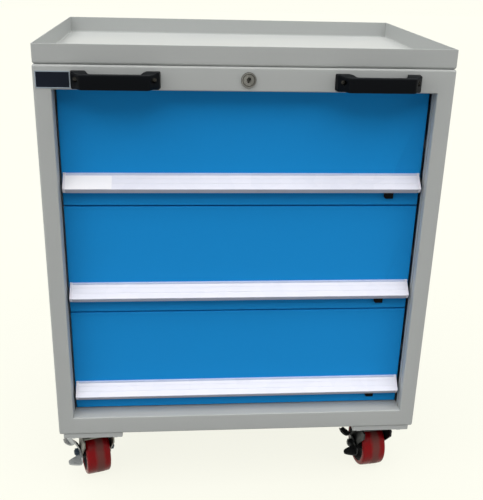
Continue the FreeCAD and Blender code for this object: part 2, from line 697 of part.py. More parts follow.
drawer_kinds = [
    ("drawer_front", drawer_front),
    ("drawer_box", drawer_box),
    ("drawer_handle", drawer_handle),
    ("handle_end_caps", end_caps),
    ("drawer_latch", drawer_latch),
]
cabinet_members = []
for number in (1, 2, 3):
    foot = f"opening_low + drawer_gap + {3 - number} * drawer_pitch"
    for kind, make in drawer_kinds:
        name_part(make(f"{kind}_made_{number}"), f"{kind}_{number}", y="face", z=foot)
    slide_foot = f"{foot} + slide_rise"
    fixed = slide_member(f"fixed_member_{number}", "0", first_tip, cabinet_half, "-")
    for side, text in (("y", "slide_front"), ("z", slide_foot)):
        fixed.setExpression(f"Placement.Base.{side}", bind(text))
    cabinet_members.append(fixed)
    middle = slide_member(f"middle_member_{number}", middle_web, middle_tip, middle_half, "-")
    name_part(middle, f"middle_slide_members_{number}", y="slide_front", z=slide_foot)
    inner = slide_member(f"drawer_member_{number}", "slide_thickness", drawer_tip, drawer_half, "+")
    name_part(inner, f"drawer_slide_members_{number}", y="slide_front", z=slide_foot)
name_part(group("fixed_members", *cabinet_members), "cabinet_slide_members")

# Label strip on the slope of the top drawer's handle, square to the slope.
label_body = new_body("label_body")
lift = "label_thickness * sqrt(0.5)"
label_margin = "(handle_slope - label_width) / 2"
slope_top = (f"-handle_flange - {label_margin}", f"handle_top - handle_edge - {label_margin}")
label_points = [
    slope_top,
    (f"{slope_top[0]} - {lift}", f"{slope_top[1]} + {lift}"),
    (f"{slope_top[0]} - {lift} - label_width", f"{slope_top[1]} + {lift} - label_width"),
    (f"{slope_top[0]} - label_width", f"{slope_top[1]} - label_width"),
]
label_left = "-handle_half + cap_thickness + label_offset"
pad(label_body, "label_strip", "YZ", label_left, f"{label_left} + label_length", label_points)
name_part(label_body, "label_strip_1", y="face", z="opening_low + drawer_gap + 2 * drawer_pitch")


# Pull handles: bridge handles in moulded plastic, drawn about the middle of their foot.
def pull_handle(name):
    body = new_body(name)
    inner_end = "pull_length / 2 - pull_foot"
    inner_depth = "-pull_reach + pull_grip_depth"
    half_plan = [
        ("pull_length / 2 - pull_taper - pull_slope", "-pull_reach"),
        ("pull_length / 2 - pull_taper", "-pull_end_reach"),
        ("pull_length / 2", "0"),
        (inner_end, "0"),
        (f"{inner_end} - pull_slope / 2", inner_depth),
    ]
    points = half_plan + [(f"-({x})", y) for x, y in reversed(half_plan)]
    rounds = [((0, 9), "pull_grip_depth / 2"), ((4, 5), "pull_grip_depth / 3")]
    pad(body, name + "_bridge", "XY", "-pull_height / 2", "pull_height / 2", points, rounds=rounds)
    step = "(pull_height - pull_grip_height) / 2"
    beyond = "-pull_reach - 1"
    for part, sign in (("upper", ""), ("lower", "-")):
        wedge = [
            ("-pull_end_reach", f"{sign}(pull_height / 2)"),
            (f"{inner_depth}", f"{sign}(pull_height / 2 - {step})"),
            (beyond, f"{sign}(pull_height / 2 - {step})"),
            (beyond, f"{sign}(pull_height / 2)"),
        ]
        pocket(body, f"{name}_{part}", "YZ", "-pull_length / 2", "pull_length / 2", wedge)
    holes = [(f"{sign}pull_spacing / 2", "screw_rise", "screw_radius + screw_play") for sign in ("-", "")]
    pocket(body, name + "_holes", "XZ", beyond, "1", circles=holes)
    sinks = [(x, z, "screw_head_radius + screw_play") for x, z, radius in holes]
    pocket(body, name + "_sinks", "XZ", beyond, "-screw_seat", circles=sinks)
    grip_z = value("pull_grip_height / 2")
    front_y = value("-pull_reach")
    end_y = value("-pull_end_reach")
    end_x = value("pull_length / 2 - pull_taper")
    slant = value("pull_slope / (pull_reach - pull_end_reach)")
    lean = value("pull_taper / pull_end_reach")

    def round_the_grip(edge):
        # the upper and lower edges of the handle's outer side
        middle = middle_of(edge)
        if abs(middle.z) < grip_z - 0.01 or middle.y > -0.01:
            return False
        outer_x = end_x + (middle.y - end_y) * (slant if middle.y < end_y else lean)
        return middle.y < front_y + 0.05 or abs(abs(middle.x) - outer_x) < 2

    round_off(body, name + "_grip", "pull_grip_depth / 5", round_the_grip)
    return body


screws = []
for side, sign in (("left", "-"), ("right", "")):
    handle = pull_handle(f"pull_{side}")
    name_part(handle, f"pull_handle_{side}", x=f"{sign}pull_place", y="front", z="top - pull_drop")
    for end, step in (("inner", "-"), ("outer", "+")):
        name = f"pull_screw_{side}_{end}"
        screw_x = f"{sign}pull_place {step} pull_spacing / 2"
        seat = (screw_x, "front - screw_seat - screw_head_depth", "screw_height")
        head = rod(name + "_head", "y", "screw_head_radius", "screw_head_depth", seat)
        shank = rod(name + "_shank", "y", "screw_radius",
                    "screw_head_depth + screw_seat + sheet + nut_thickness + thread_end", seat)
        nut = hexagon(name + "_nut", "y", "screw_head_radius", "nut_thickness",
                      (screw_x, "front + sheet", "screw_height"))
        screws.append(fuse(name, head, shank, nut))
name_part(group("pull_screws", *screws), "pull_handle_screws")

# Name plate: a plain plate with rounded corners at the left end of the top rail.
plate_body = new_body("plate_body")
plate = rectangle(("-half + plate_inset", "-half + plate_inset + plate_width"),
                  ("-plate_height", "0"))
pad(plate_body, "plate_sheet", "XZ", "-plate_thickness", "0", plate, rounds=[((0, 1, 2, 3), "fold_radius")])
name_part(plate_body, "name_plate", y="front", z="top - plate_drop")

# Lock: fixed barrel with its nut, and a plug that turns the cam. Drawn about the rail's front face.
barrel_body = new_body("barrel_body")
barrel_points = [
    ("plug_radius + plug_play", "-lock_flange_thickness"),
    ("lock_flange_radius - lock_flange_slant", "-lock_flange_thickness"),
    ("lock_flange_radius", "-lock_flange_thickness + lock_flange_slant"),
    ("lock_flange_radius", "0"),
    ("barrel_radius", "0"),
    ("barrel_radius", "sheet"),
    ("barrel_nut_radius", "sheet"),
    ("barrel_nut_radius", "sheet + barrel_nut_thickness"),
    ("barrel_radius", "sheet + barrel_nut_thickness"),
    ("barrel_radius", "barrel_length"),
    ("plug_radius + plug_play", "barrel_length"),
]
turned(barrel_body, "barrel_turned", "XY", barrel_points, "V_Axis")
name_part(barrel_body, "lock_barrel", y="front", z="lock_height")

plug_body = new_body("plug_body")
plug_points = [
    ("0", "-lock_flange_thickness + plug_set_back"),
    ("plug_radius", "-lock_flange_thickness + plug_set_back"),
    ("plug_radius", "barrel_length + cam_gap"),
    ("cam_tail_radius", "barrel_length + cam_gap"),
    ("cam_tail_radius", "barrel_length + cam_gap + cam_thickness"),
    ("0", "barrel_length + cam_gap + cam_thickness"),
]
turned(plug_body, "plug_turned", "XY", plug_points, "V_Axis")
key_slot = rectangle(("-key_slot_width / 2", "key_slot_width / 2"),
                     ("-key_slot_height / 2", "key_slot_height / 2"))
slot_end = "key_slot_depth - lock_flange_thickness"
pocket(plug_body, "key_slot", "XZ", "-lock_flange_thickness", slot_end, key_slot)
plug_body.Placement = FreeCAD.Placement(FreeCAD.Vector(), FreeCAD.Rotation(FreeCAD.Vector(0, 1, 0), 1))
name_part(plug_body, "lock_plug", y="front", z="lock_height", yaw="key_tilt")

cam_body = new_body("cam_body")
cam_low = "barrel_length + cam_gap"
cam_high = "barrel_length + cam_gap + cam_thickness"
pad(cam_body, "cam_disc", "XZ", cam_low, cam_high, circles=[("0", "0", "cam_radius")])
pin_end = [("crank_drop", "-crank_drop", "2 * pin_radius")]
pad(cam_body, "cam_lobe", "XZ", cam_low, cam_high, circles=pin_end)
pad(cam_body, "cam_pin", "XZ", cam_low, "bar_front + bar_thickness + pin_radius",
    circles=[("crank_drop", "-crank_drop", "pin_radius")])
pocket(cam_body, "cam_bore", "XZ", f"{cam_low} - 1", f"{cam_high} + 1",
       circles=[("0", "0", "cam_tail_radius")])
name_part(cam_body, "lock_cam", y="front", z="lock_height")

# Lock bar: its upper arm is lifted by the cam pin, and its hooks rise before the drawers' catches.
bar_y = ("front + bar_front", "front + bar_front + bar_thickness")
arm_z = "lock_height - crank_drop"
arm = block("bar_arm", ("bar_start", "bar_side"), bar_y,
            (f"{arm_z} - bar_arm_height / 2", f"{arm_z} + bar_arm_height / 2"))
slot = block("bar_slot", ("crank_drop - pin_radius - pin_play", "crank + pin_radius + pin_play"), bar_y,
             (f"{arm_z} - pin_radius - pin_play", f"{arm_z} + pin_radius + pin_play"))
strip = block("bar_strip", ("bar_side", "bar_side + bar_thickness"),
              ("front + bar_front", "front + bar_back"),
              ("base + bar_foot", f"{arm_z} + bar_arm_height / 2"))
hooks = []
for number in (1, 2, 3):
    hook_top = f"opening_low + drawer_gap + {3 - number} * drawer_pitch + {catch_low} - hook_gap"
    hooks.append(block(f"bar_hook_{number}", ("box_half + hook_clearance", "bar_side"),
                       ("front + bar_back - hook_gap / 2 - bar_thickness", "front + bar_back - hook_gap / 2"),
                       (f"{hook_top} - hook_height", hook_top)))
name_part(group("bar", cut("bar_arm_slotted", arm, slot), strip, *hooks), "lock_bar")

guides = []
for name, low in (("lower", "base + 2 * bar_foot"), ("upper", "opening_high - guide_set_in")):
    clip = block(f"guide_{name}_clip", ("bar_side - guide_play - guide_wall", "half - sheet"),
                 ("front + bar_front + guide_front", "front + bar_back + guide_play + guide_wall"),
                 (low, f"{low} + guide_height"))
    gap = block(f"guide_{name}_gap", ("bar_side - guide_play", "bar_side + bar_thickness + guide_play"),
                ("front + bar_front + guide_front", "front + bar_back + guide_play"),
                (low, f"{low} + guide_height"))
    guides.append(cut(f"guide_{name}", clip, gap))
name_part(group("guides", *guides), "lock_bar_guides")


# Casters, each drawn about its upright axis with the floor at zero.
caster_spots = [("front_left", "-caster_x", "front_caster_y"), ("front_right", "caster_x", "front_caster_y"),
                ("rear_left", "-caster_x", "rear_caster_y"), ("rear_right", "caster_x", "rear_caster_y")]
bolt_spots = [(f"{x}bolt_place_x", f"{y}bolt_place_y") for x in ("-", "") for y in ("-", "")]


def put(made, x, y):
    for side, text in (("x", x), ("y", y)):
        made.setExpression(f"Placement.Base.{side}", bind(text))
    return made


def caster_pad(name):
    body = new_body(name)
    pad(body, name + "_block", "XY", "caster_height", "base",
        rectangle(("-pad_width / 2", "pad_width / 2"), ("-pad_depth / 2", "pad_depth / 2")),
        rounds=[((0, 1, 2, 3), "pad_wall")])
    hollow = rectangle(("-pad_width / 2 + pad_wall", "pad_width / 2 - pad_wall"),
                       ("-pad_depth / 2 + pad_wall", "pad_depth / 2 - pad_wall"))
    pocket(body, name + "_hollow", "XY", "caster_height + pad_wall", "base", hollow)
    holes = [(x, y, "bolt_radius + bolt_play") for x, y in bolt_spots]
    pocket(body, name + "_holes", "XY", "caster_height - 1", "base", circles=holes)
    return body


def caster_bolts(name):
    bolts = []
    for number, (x, y) in enumerate(bolt_spots, 1):
        head = hexagon(f"{name}_head_{number}", "z", "bolt_head_radius", "bolt_head_thickness",
                       (x, y, "plate_foot - bolt_head_thickness"))
        shank = rod(f"{name}_shank_{number}", "z", "bolt_radius",
                    "mount_plate_thickness + pad_wall + 2 * bolt_head_thickness + thread_end / 2",
                    (x, y, "plate_foot - bolt_head_thickness"))
        nut = hexagon(f"{name}_nut_{number}", "z", "bolt_head_radius", "bolt_head_thickness",
                      (x, y, "caster_height + pad_wall"))
        bolts.append(fuse(f"{name}_bolt_{number}", head, shank, nut))
    return group(name, *bolts)


pads = [put(caster_pad(f"pad_{name}"), x, y) for name, x, y in caster_spots]
name_part(group("pads", *pads), "caster_pads")
bolts = [put(caster_bolts(f"bolts_{name}"), x, y) for name, x, y in caster_spots]
name_part(group("bolts", *bolts), "caster_bolts")


def mount_plate(body, name):
    outline = rectangle(("-mount_plate_width / 2", "mount_plate_width / 2"),
                        ("-mount_plate_depth / 2", "mount_plate_depth / 2"))
    pad(body, name + "_plate", "XY", "plate_foot", "caster_height", outline,
        rounds=[((0, 1, 2, 3), "leg_end_radius / 2")])
    holes = [(x, y, "bolt_radius + bolt_play") for x, y in bolt_spots]
    pocket(body, name + "_holes", "XY", "plate_foot - 1", "caster_height + 1", circles=holes)


def front_plate(name):
    body = new_body(name)
    mount_plate(body, name)
    pad(body, name + "_race", "XY", "race_low", "plate_foot", circles=[("0", "0", "race_radius")])
    head_low = "crown_low - swivel_play - kingpin_head_thickness"
    head_high = "crown_low - swivel_play"
    pad(body, name + "_pin", "XY", head_high, "race_low", circles=[("0", "0", "kingpin_radius")])
    pad(body, name + "_head", "XY", head_low, head_high, circles=[("0", "0", "kingpin_head_radius")])
    return body


front_plates = [put(front_plate(f"plate_{name}"), x, y) for name, x, y in caster_spots[:2]]
name_part(group("front_plates", *front_plates), "front_caster_plates")


def leg_outline(axle_y, top_z, front_y, back_y):
    # tapers from the crown to an eight-sided foot round the axle
    reach = "leg_end_radius"
    slant = "leg_end_radius * sqrt(0.5)"
    return [
        (front_y, top_z),
        (back_y, top_z),
        (f"{axle_y} + {reach}", "wheel_radius"),
        (f"{axle_y} + {slant}", f"wheel_radius - {slant}"),
        (axle_y, f"wheel_radius - {reach}"),
        (f"{axle_y} - {slant}", f"wheel_radius - {slant}"),
        (f"{axle_y} - {reach}", "wheel_radius"),
        (front_y, f"{top_z} - {reach}"),
    ]


def add_legs(body, name, axle_y, top_z, front_y, back_y):
    outline = leg_outline(axle_y, top_z, front_y, back_y)
    pad(body, name + "_right_leg", "YZ", "leg_inside", "leg_outside", outline)
    pad(body, name + "_left_leg", "YZ", "-leg_outside", "-leg_inside", outline)


def front_fork(name):
    body = new_body(name)
    crown_high = "crown_low + crown_thickness"
    pad(body, name + "_crown", "XY", "crown_low", crown_high,
        rectangle(("-leg_outside", "leg_outside"), ("-crown_front", "crown_half")))
    pad(body, name + "_dish", "XY", crown_high, "race_low - swivel_play", circles=[("0", "0", "race_radius")])
    add_legs(body, name, "trail", crown_high, "-leg_front", "crown_half")
    pin_bore = [("0", "0", "kingpin_radius + axle_play")]
    pocket(body, name + "_bore", "XY", "crown_low - 1", "race_low", circles=pin_bore)
    pocket(body, name + "_axle", "YZ", "-leg_outside - 1", "leg_outside + 1",
           circles=[("trail", "wheel_radius", "axle_radius + axle_play")])
    return body


def front_axle(name):
    left_end = "-leg_outside - 2 * lever_play - lever_thickness - axle_nut_thickness"
    length = f"leg_outside + axle_nut_thickness + 2 * thread_end - ({left_end})"
    start = (f"{left_end} - thread_end", "trail", "wheel_radius")
    bolt = rod(name + "_bolt", "x", "axle_radius", length, start)
    right = hexagon(name + "_right", "x", "axle_nut_radius", "axle_nut_thickness",
                    ("leg_outside", "trail", "wheel_radius"))
    left = hexagon(name + "_left", "x", "axle_nut_radius", "axle_nut_thickness",
                   (left_end, "trail", "wheel_radius"))
    return fuse(name, bolt, right, left)


def wheel_core(name):
    body = new_body(name)
    rim = "wheel_width / 2 - rim_inset"
    outer = "wheel_radius - tread_thickness - tread_seat"
    side = [
        ("hub_half", "axle_radius + axle_play"),
        ("hub_half", "hub_radius"),
        ("wheel_web / 2", "hub_radius + rim_inset"),
        ("wheel_web / 2", f"{outer} - wheel_rim"),
        (rim, f"{outer} - wheel_rim / 2"),
        (rim, outer),
    ]
    points = side + [(f"-({x})", r) for x, r in reversed(side)]
    turned(body, name + "_turned", "XY", points, "H_Axis")
    return body


def wheel_tread(name):
    body = new_body(name)
    inner = "wheel_radius - tread_thickness"
    corner = "tread_round * (1 - sqrt(0.5))"
    side = [
        ("wheel_width / 2", inner),
        ("wheel_width / 2", "wheel_radius - tread_round"),
        (f"wheel_width / 2 - {corner}", f"wheel_radius - {corner}"),
        ("wheel_width / 2 - tread_round", "wheel_radius"),
    ]
    points = side + [(f"-({x})", r) for x, r in reversed(side)]
    turned(body, name + "_turned", "XY", points, "H_Axis")
    return body


def brake_pedal(name):
    body = new_body(name)
    near = "-leg_outside - lever_play"
    far = f"{near} - lever_thickness"
    tip = f"{far} - lever_tab"
    low = "wheel_radius - lever_drop"
    high = "wheel_radius + lever_up"
    front_edge = "trail - lever_front"
    neck = "trail - 2 * lever_hub / 3"
    rear_edge = "trail + lever_hub + lever_back"
    plate = [
        (front_edge, low),
        ("trail - lever_hub", low),
        ("trail - lever_hub / 2", "wheel_radius - lever_hub"),
        ("trail + lever_hub", "wheel_radius - lever_hub"),
        (rear_edge, high),
        (neck, high),
        ("trail - lever_hub", "wheel_radius + lever_hub"),
        (front_edge, "wheel_radius + lever_hub / 2"),
    ]
    pad(body, name + "_plate", "YZ", far, near, plate, rounds=[((3, 6, 7), "lever_hub / 3")])
    upper = [(near, neck), (tip, neck), (tip, "trail"), (f"{tip} + lever_clip", rear_edge), (near, rear_edge)]
    pad(body, name + "_upper", "XY", f"{high} - lever_thickness", high, upper)
    front_tab = rectangle((tip, near), (front_edge, "trail - lever_hub"))
    pad(body, name + "_front", "XY", low, f"{low} + lever_thickness", front_tab)
    low_middle = f"{low} + lever_thickness / 2"
    high_middle = f"{high} - lever_thickness / 2"
    corners = [
        (tip, front_edge, low_middle),
        (tip, "trail - lever_hub", low_middle),
        (tip, neck, high_middle),
        (f"{tip} + lever_clip", rear_edge, high_middle),
    ]
    round_off(body, name + "_corners", "lever_hub / 3", through(corners))
    pocket(body, name + "_bore", "YZ", f"{far} - 1", f"{near} + 1",
           circles=[("trail", "wheel_radius", "axle_radius + axle_play")])
    return body


def put_wheel(made, label, x, y, yaw, trail):
    # a wheel is drawn about its own middle, so its place follows the turned trail
    turn = yaw or "0"
    angle = f"({bind(turn)}) * 1 deg"
    made.Label = label
    made.setExpression("Placement.Base.x", f"{bind(x)} - {bind(trail)} * sin({angle})")
    made.setExpression("Placement.Base.y", f"{bind(y)} + {bind(trail)} * cos({angle})")
    made.setExpression("Placement.Base.z", bind("wheel_radius"))
    made.setExpression("Placement.Rotation.Angle", bind(turn))
    subparts[label] = made


swivelling = [("front_fork", front_fork), ("front_axle", front_axle), ("brake_pedal", brake_pedal)]
for side, sign in (("left", "-"), ("right", "")):
    x = f"{sign}caster_x"
    yaw = f"{side}_yaw"
    for kind, make in swivelling:
        name_part(make(f"{kind}_made_{side}"), f"{kind}_{side}", x, "front_caster_y", yaw=yaw)
    for kind, make in (("core", wheel_core), ("tread", wheel_tread)):
        front_wheel = make(f"front_{kind}_made_{side}")
        put_wheel(front_wheel, f"front_wheel_{kind}_{side}", x, "front_caster_y", yaw, "trail")
        rear_wheel = make(f"rear_{kind}_made_{side}")
        put_wheel(rear_wheel, f"rear_wheel_{kind}_{side}", x, "rear_caster_y", None, "0")


def rear_bracket(name):
    body = new_body(name)
    mount_plate(body, name)
    add_legs(body, name, "0", "plate_foot", "-crown_half", "crown_half")
    pocket(body, name + "_axle", "YZ", "-leg_outside - 1", "leg_outside + 1",
           circles=[("0", "wheel_radius", "axle_radius + axle_play")])
    return body


def rear_axle(name):
    reach = "leg_outside + axle_nut_thickness + thread_end"
    bolt = rod(name + "_bolt", "x", "axle_radius", f"2 * ({reach})", (f"-({reach})", "0", "wheel_radius"))
    right = hexagon(name + "_right", "x", "axle_nut_radius", "axle_nut_thickness",
                    ("leg_outside", "0", "wheel_radius"))
    left = hexagon(name + "_left", "x", "axle_nut_radius", "axle_nut_thickness",
                   ("-leg_outside - axle_nut_thickness", "0", "wheel_radius"))
    return fuse(name, bolt, right, left)


rear_brackets = [put(rear_bracket(f"bracket_{name}"), x, y) for name, x, y in caster_spots[2:]]
name_part(group("rear_brackets", *rear_brackets), "rear_caster_brackets")
rear_axles = [put(rear_axle(f"axle_{name}"), x, y) for name, x, y in caster_spots[2:]]
name_part(group("rear_axles", *rear_axles), "rear_caster_axles")

doc.recompute()
for made in doc.Objects:
    if "Invalid" in made.State or "Error" in made.State:
        raise RuntimeError(f"{made.Name} failed: {made.State}")
for label, made in subparts.items():
    if made.Shape.isNull() or not made.Shape.isValid() or not made.Shape.Solids:
        raise RuntimeError(f"{label} has no valid solid")
if len(subparts) > 60:
    raise RuntimeError("more than 60 sub-parts")

os.makedirs("parts", exist_ok=True)
for label, made in subparts.items():
    made.Shape.exportStep(f"parts/{label}.step")
print(f"{len(subparts)} sub-parts, {sum(len(made.Shape.Solids) for made in subparts.values())} solids")
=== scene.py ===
import json
import math
import bmesh
import bpy
from mathutils import Matrix, Vector


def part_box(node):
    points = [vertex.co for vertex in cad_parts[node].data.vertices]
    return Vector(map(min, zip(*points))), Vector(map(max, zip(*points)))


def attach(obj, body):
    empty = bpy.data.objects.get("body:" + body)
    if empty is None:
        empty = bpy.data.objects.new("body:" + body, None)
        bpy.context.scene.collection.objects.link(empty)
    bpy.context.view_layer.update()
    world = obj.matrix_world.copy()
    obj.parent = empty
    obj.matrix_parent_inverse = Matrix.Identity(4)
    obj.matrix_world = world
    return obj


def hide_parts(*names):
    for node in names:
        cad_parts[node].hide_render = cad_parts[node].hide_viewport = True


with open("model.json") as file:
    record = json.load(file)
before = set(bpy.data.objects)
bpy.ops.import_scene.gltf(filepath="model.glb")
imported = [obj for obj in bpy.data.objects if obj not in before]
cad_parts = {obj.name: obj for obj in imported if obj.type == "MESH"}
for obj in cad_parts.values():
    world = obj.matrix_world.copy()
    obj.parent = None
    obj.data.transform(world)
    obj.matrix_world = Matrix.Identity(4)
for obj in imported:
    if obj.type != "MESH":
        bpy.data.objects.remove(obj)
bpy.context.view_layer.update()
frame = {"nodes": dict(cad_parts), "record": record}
nodes = frame["nodes"]
scene = bpy.context.scene
mm = 0.001


# Node groups: each effect is built once and used by several finishes.

def newGroup(name, inputs, outputs):
    group = bpy.data.node_groups.new(name, "ShaderNodeTree")
    for label, kind, value in inputs:
        socket = group.interface.new_socket(name=label, in_out="INPUT", socket_type=kind)
        if value is not None:
            socket.default_value = value
    for label, kind in outputs:
        group.interface.new_socket(name=label, in_out="OUTPUT", socket_type=kind)
    start = group.nodes.new("NodeGroupInput")
    end = group.nodes.new("NodeGroupOutput")
    return group, start, end


def addNode(tree, kind, settings=None, **links):
    # makes a node, sets its properties, and fills its inputs from values or other sockets
    node = tree.nodes.new(kind)
    for key, value in (settings or {}).items():
        setattr(node, key, value)
    for label, value in links.items():
        key = int(label[1:]) if label[0] == "i" and label[1:].isdigit() else label.replace("_", " ")
        if isinstance(value, bpy.types.NodeSocket):
            tree.links.new(value, node.inputs[key])
        else:
            node.inputs[key].default_value = value
    return node


def mathNode(tree, operation, first, second=0.0, clamp=False):
    settings = {"operation": operation, "use_clamp": clamp}
    return addNode(tree, "ShaderNodeMath", settings, i0=first, i1=second).outputs[0]


def mixColor(tree, factor, first, second):
    node = addNode(tree, "ShaderNodeMix", {"data_type": "RGBA"}, i0=factor, i6=first, i7=second)
    return node.outputs[2]


def rampNode(tree, value, low, high):
    # a value stretched so that low becomes 0 and high becomes 1
    settings = {"clamp": True, "interpolation_type": "SMOOTHSTEP"}
    return addNode(tree, "ShaderNodeMapRange", settings, Value=value, From_Min=low, From_Max=high).outputs[0]


def noiseNode(tree, place, scale, detail):
    return addNode(tree, "ShaderNodeTexNoise", None, Vector=place, Scale=scale, Detail=detail).outputs[0]


def centred(tree, noise):
    # noise runs from 0 to 1, and this moves its middle to 0
    return mathNode(tree, "SUBTRACT", noise, 0.5)


vectorKind, numberKind, toneKind = "NodeSocketVector", "NodeSocketFloat", "NodeSocketColor"

coatPattern = {"peelDetail": 2.0, "patchScale": 3.1, "patchDetail": 3.0, "speckScale": 260.0,
               "speckDetail": 1.0, "speckShare": 0.35, "patchGloss": 0.12}


def buildPowderCoat(pattern):
    # orange peel and faint patches of tone, as sprayed and baked paint has
    group, start, end = newGroup(
        "powderCoat",
        [("Vector", vectorKind, None), ("Tone", toneKind, (0.5, 0.5, 0.5, 1)),
         ("Patch Depth", numberKind, 0.04), ("Grain Scale", numberKind, 900.0),
         ("Roughness", numberKind, 0.4)],
        [("Color", toneKind), ("Roughness", numberKind), ("Height", numberKind)])
    at = start.outputs
    peel = noiseNode(group, at["Vector"], at["Grain Scale"], pattern["peelDetail"])
    patch = noiseNode(group, at["Vector"], pattern["patchScale"], pattern["patchDetail"])
    speck = noiseNode(group, at["Vector"], pattern["speckScale"], pattern["speckDetail"])
    spread = centred(group, patch)
    fine = mathNode(group, "MULTIPLY", centred(group, speck), pattern["speckShare"])
    shade = mathNode(group, "MULTIPLY", mathNode(group, "ADD", spread, fine), at["Patch Depth"])
    bright = mathNode(group, "ADD", shade, 1.0)
    tone = addNode(group, "ShaderNodeVectorMath", {"operation": "SCALE"}, i0=at["Tone"], Scale=bright)
    gloss = mathNode(group, "MULTIPLY", spread, pattern["patchGloss"])
    group.links.new(tone.outputs[0], end.inputs["Color"])
    group.links.new(mathNode(group, "ADD", at["Roughness"], gloss), end.inputs["Roughness"])
    group.links.new(peel, end.inputs["Height"])
    return group


wearPattern = {"samples": 4, "bend": (0.02, 0.22), "detail": 5.0, "gaps": (0.42, 0.66)}


def buildEdgeWear(pattern):
    # a broken mask along edges, where handling thins a finish
    group, start, end = newGroup(
        "edgeWear",
        [("Vector", vectorKind, None), ("Width", numberKind, 0.0012), ("Breakup", numberKind, 55.0),
         ("Amount", numberKind, 0.5)],
        [("Mask", numberKind)])
    at = start.outputs
    geometry = group.nodes.new("ShaderNodeNewGeometry")
    soft = addNode(group, "ShaderNodeBevel", {"samples": pattern["samples"]}, Radius=at["Width"])
    turn = addNode(group, "ShaderNodeVectorMath", {"operation": "DOT_PRODUCT"},
                   i0=geometry.outputs["Normal"], i1=soft.outputs[0])
    edge = rampNode(group, mathNode(group, "SUBTRACT", 1.0, turn.outputs["Value"]), *pattern["bend"])
    noise = noiseNode(group, at["Vector"], at["Breakup"], pattern["detail"])
    broken = rampNode(group, noise, *pattern["gaps"])
    mask = mathNode(group, "MULTIPLY", mathNode(group, "MULTIPLY", edge, broken), at["Amount"], True)
    group.links.new(mask, end.inputs["Mask"])
    return group


dustPattern = {"facing": (0.3, 0.95), "scale": 9.0, "detail": 6.0, "patches": (0.35, 0.75)}


def buildDust(pattern):
    # a thin film that settles on what faces up, and lies in patches
    group, start, end = newGroup(
        "dustFilm", [("Vector", vectorKind, None), ("Amount", numberKind, 0.2)], [("Mask", numberKind)])
    at = start.outputs
    geometry = group.nodes.new("ShaderNodeNewGeometry")
    upward = addNode(group, "ShaderNodeSeparateXYZ", None, Vector=geometry.outputs["Normal"]).outputs[2]
    lying = rampNode(group, upward, *pattern["facing"])
    noise = noiseNode(group, at["Vector"], pattern["scale"], pattern["detail"])
    patch = rampNode(group, noise, *pattern["patches"])
    mask = mathNode(group, "MULTIPLY", mathNode(group, "MULTIPLY", lying, patch), at["Amount"], True)
    group.links.new(mask, end.inputs["Mask"])
    return group


linePattern = {"detail": 3.0}


def buildDrawnLines(pattern):
    # fine lines along one direction, as drawn or brushed metal has; Stretch is the scale across each axis
    group, start, end = newGroup(
        "drawnLines",
        [("Vector", vectorKind, None), ("Stretch", vectorKind, (4.0, 900.0, 900.0)),
         ("Depth", numberKind, 0.12)],
        [("Shade", numberKind), ("Height", numberKind)])
    at = start.outputs
    pulled = addNode(group, "ShaderNodeVectorMath", {"operation": "MULTIPLY"},
                     i0=at["Vector"], i1=at["Stretch"])
    lines = noiseNode(group, pulled.outputs[0], 1.0, pattern["detail"])
    group.links.new(mathNode(group, "MULTIPLY", centred(group, lines), at["Depth"]), end.inputs["Shade"])
    group.links.new(lines, end.inputs["Height"])
    return group


bloomPattern = {"cloudScale": 25.0, "cloudDetail": 5.0, "blend": 0.5}


def buildZincBloom(pattern):
    # the mottled bloom of zinc plating
    group, start, end = newGroup(
        "zincBloom",
        [("Vector", vectorKind, None), ("Light", toneKind, (0.7, 0.72, 0.74, 1)),
         ("Dark", toneKind, (0.5, 0.52, 0.54, 1)), ("Scale", numberKind, 120.0)],
        [("Color", toneKind), ("Mask", numberKind)])
    at = start.outputs
    cells = addNode(group, "ShaderNodeTexVoronoi", None, Vector=at["Vector"], Scale=at["Scale"])
    cloud = noiseNode(group, at["Vector"], pattern["cloudScale"], pattern["cloudDetail"])
    facet = addNode(group, "ShaderNodeSeparateColor", None, Color=cells.outputs["Color"]).outputs[0]
    blend = mathNode(group, "MULTIPLY", mathNode(group, "ADD", facet, cloud), pattern["blend"])
    group.links.new(mixColor(group, blend, at["Light"], at["Dark"]), end.inputs["Color"])
    group.links.new(blend, end.inputs["Mask"])
    return group


bandPattern = {"scale": 70.0, "detail": 4.0, "ragged": 0.16, "fade": (0.35, 1.1)}


def buildPaintedReflectionBand(pattern):
    # painted reflection: a greyish strip round the middle of a tread, standing for the floor's reflection,
    # duller and ragged at its sides
    group, start, end = newGroup(
        "paintedReflectionBand",
        [("Vector", vectorKind, None), ("Across", numberKind, 0.5), ("Middle", numberKind, 0.5),
         ("Half Width", numberKind, 0.2), ("Amount", numberKind, 0.6)],
        [("Mask", numberKind)])
    at = start.outputs
    noise = noiseNode(group, at["Vector"], pattern["scale"], pattern["detail"])
    ragged = mathNode(group, "MULTIPLY", centred(group, noise), pattern["ragged"])
    away = mathNode(group, "ABSOLUTE", mathNode(group, "SUBTRACT", at["Across"], at["Middle"]))
    share = mathNode(group, "DIVIDE", mathNode(group, "ADD", away, ragged), at["Half Width"])
    fade = mathNode(group, "SUBTRACT", 1.0, rampNode(group, share, *pattern["fade"]))
    group.links.new(mathNode(group, "MULTIPLY", fade, at["Amount"], True), end.inputs["Mask"])
    return group


powderCoat = buildPowderCoat(coatPattern)
edgeWear = buildEdgeWear(wearPattern)
dustFilm = buildDust(dustPattern)
drawnLines = buildDrawnLines(linePattern)
zincBloom = buildZincBloom(bloomPattern)
paintedReflectionBand = buildPaintedReflectionBand(bandPattern)
print("stage: node groups")


# Materials

def newMaterial(name, **sockets):
    material = bpy.data.materials.new(name)
    material.use_nodes = True
    tree = material.node_tree
    shader = tree.nodes["Principled BSDF"]
    for label, value in sockets.items():
        shader.inputs[label.replace("_", " ")].default_value = value
    place = tree.nodes.new("ShaderNodeTexCoord").outputs["Object"]
    return material, tree, shader, place


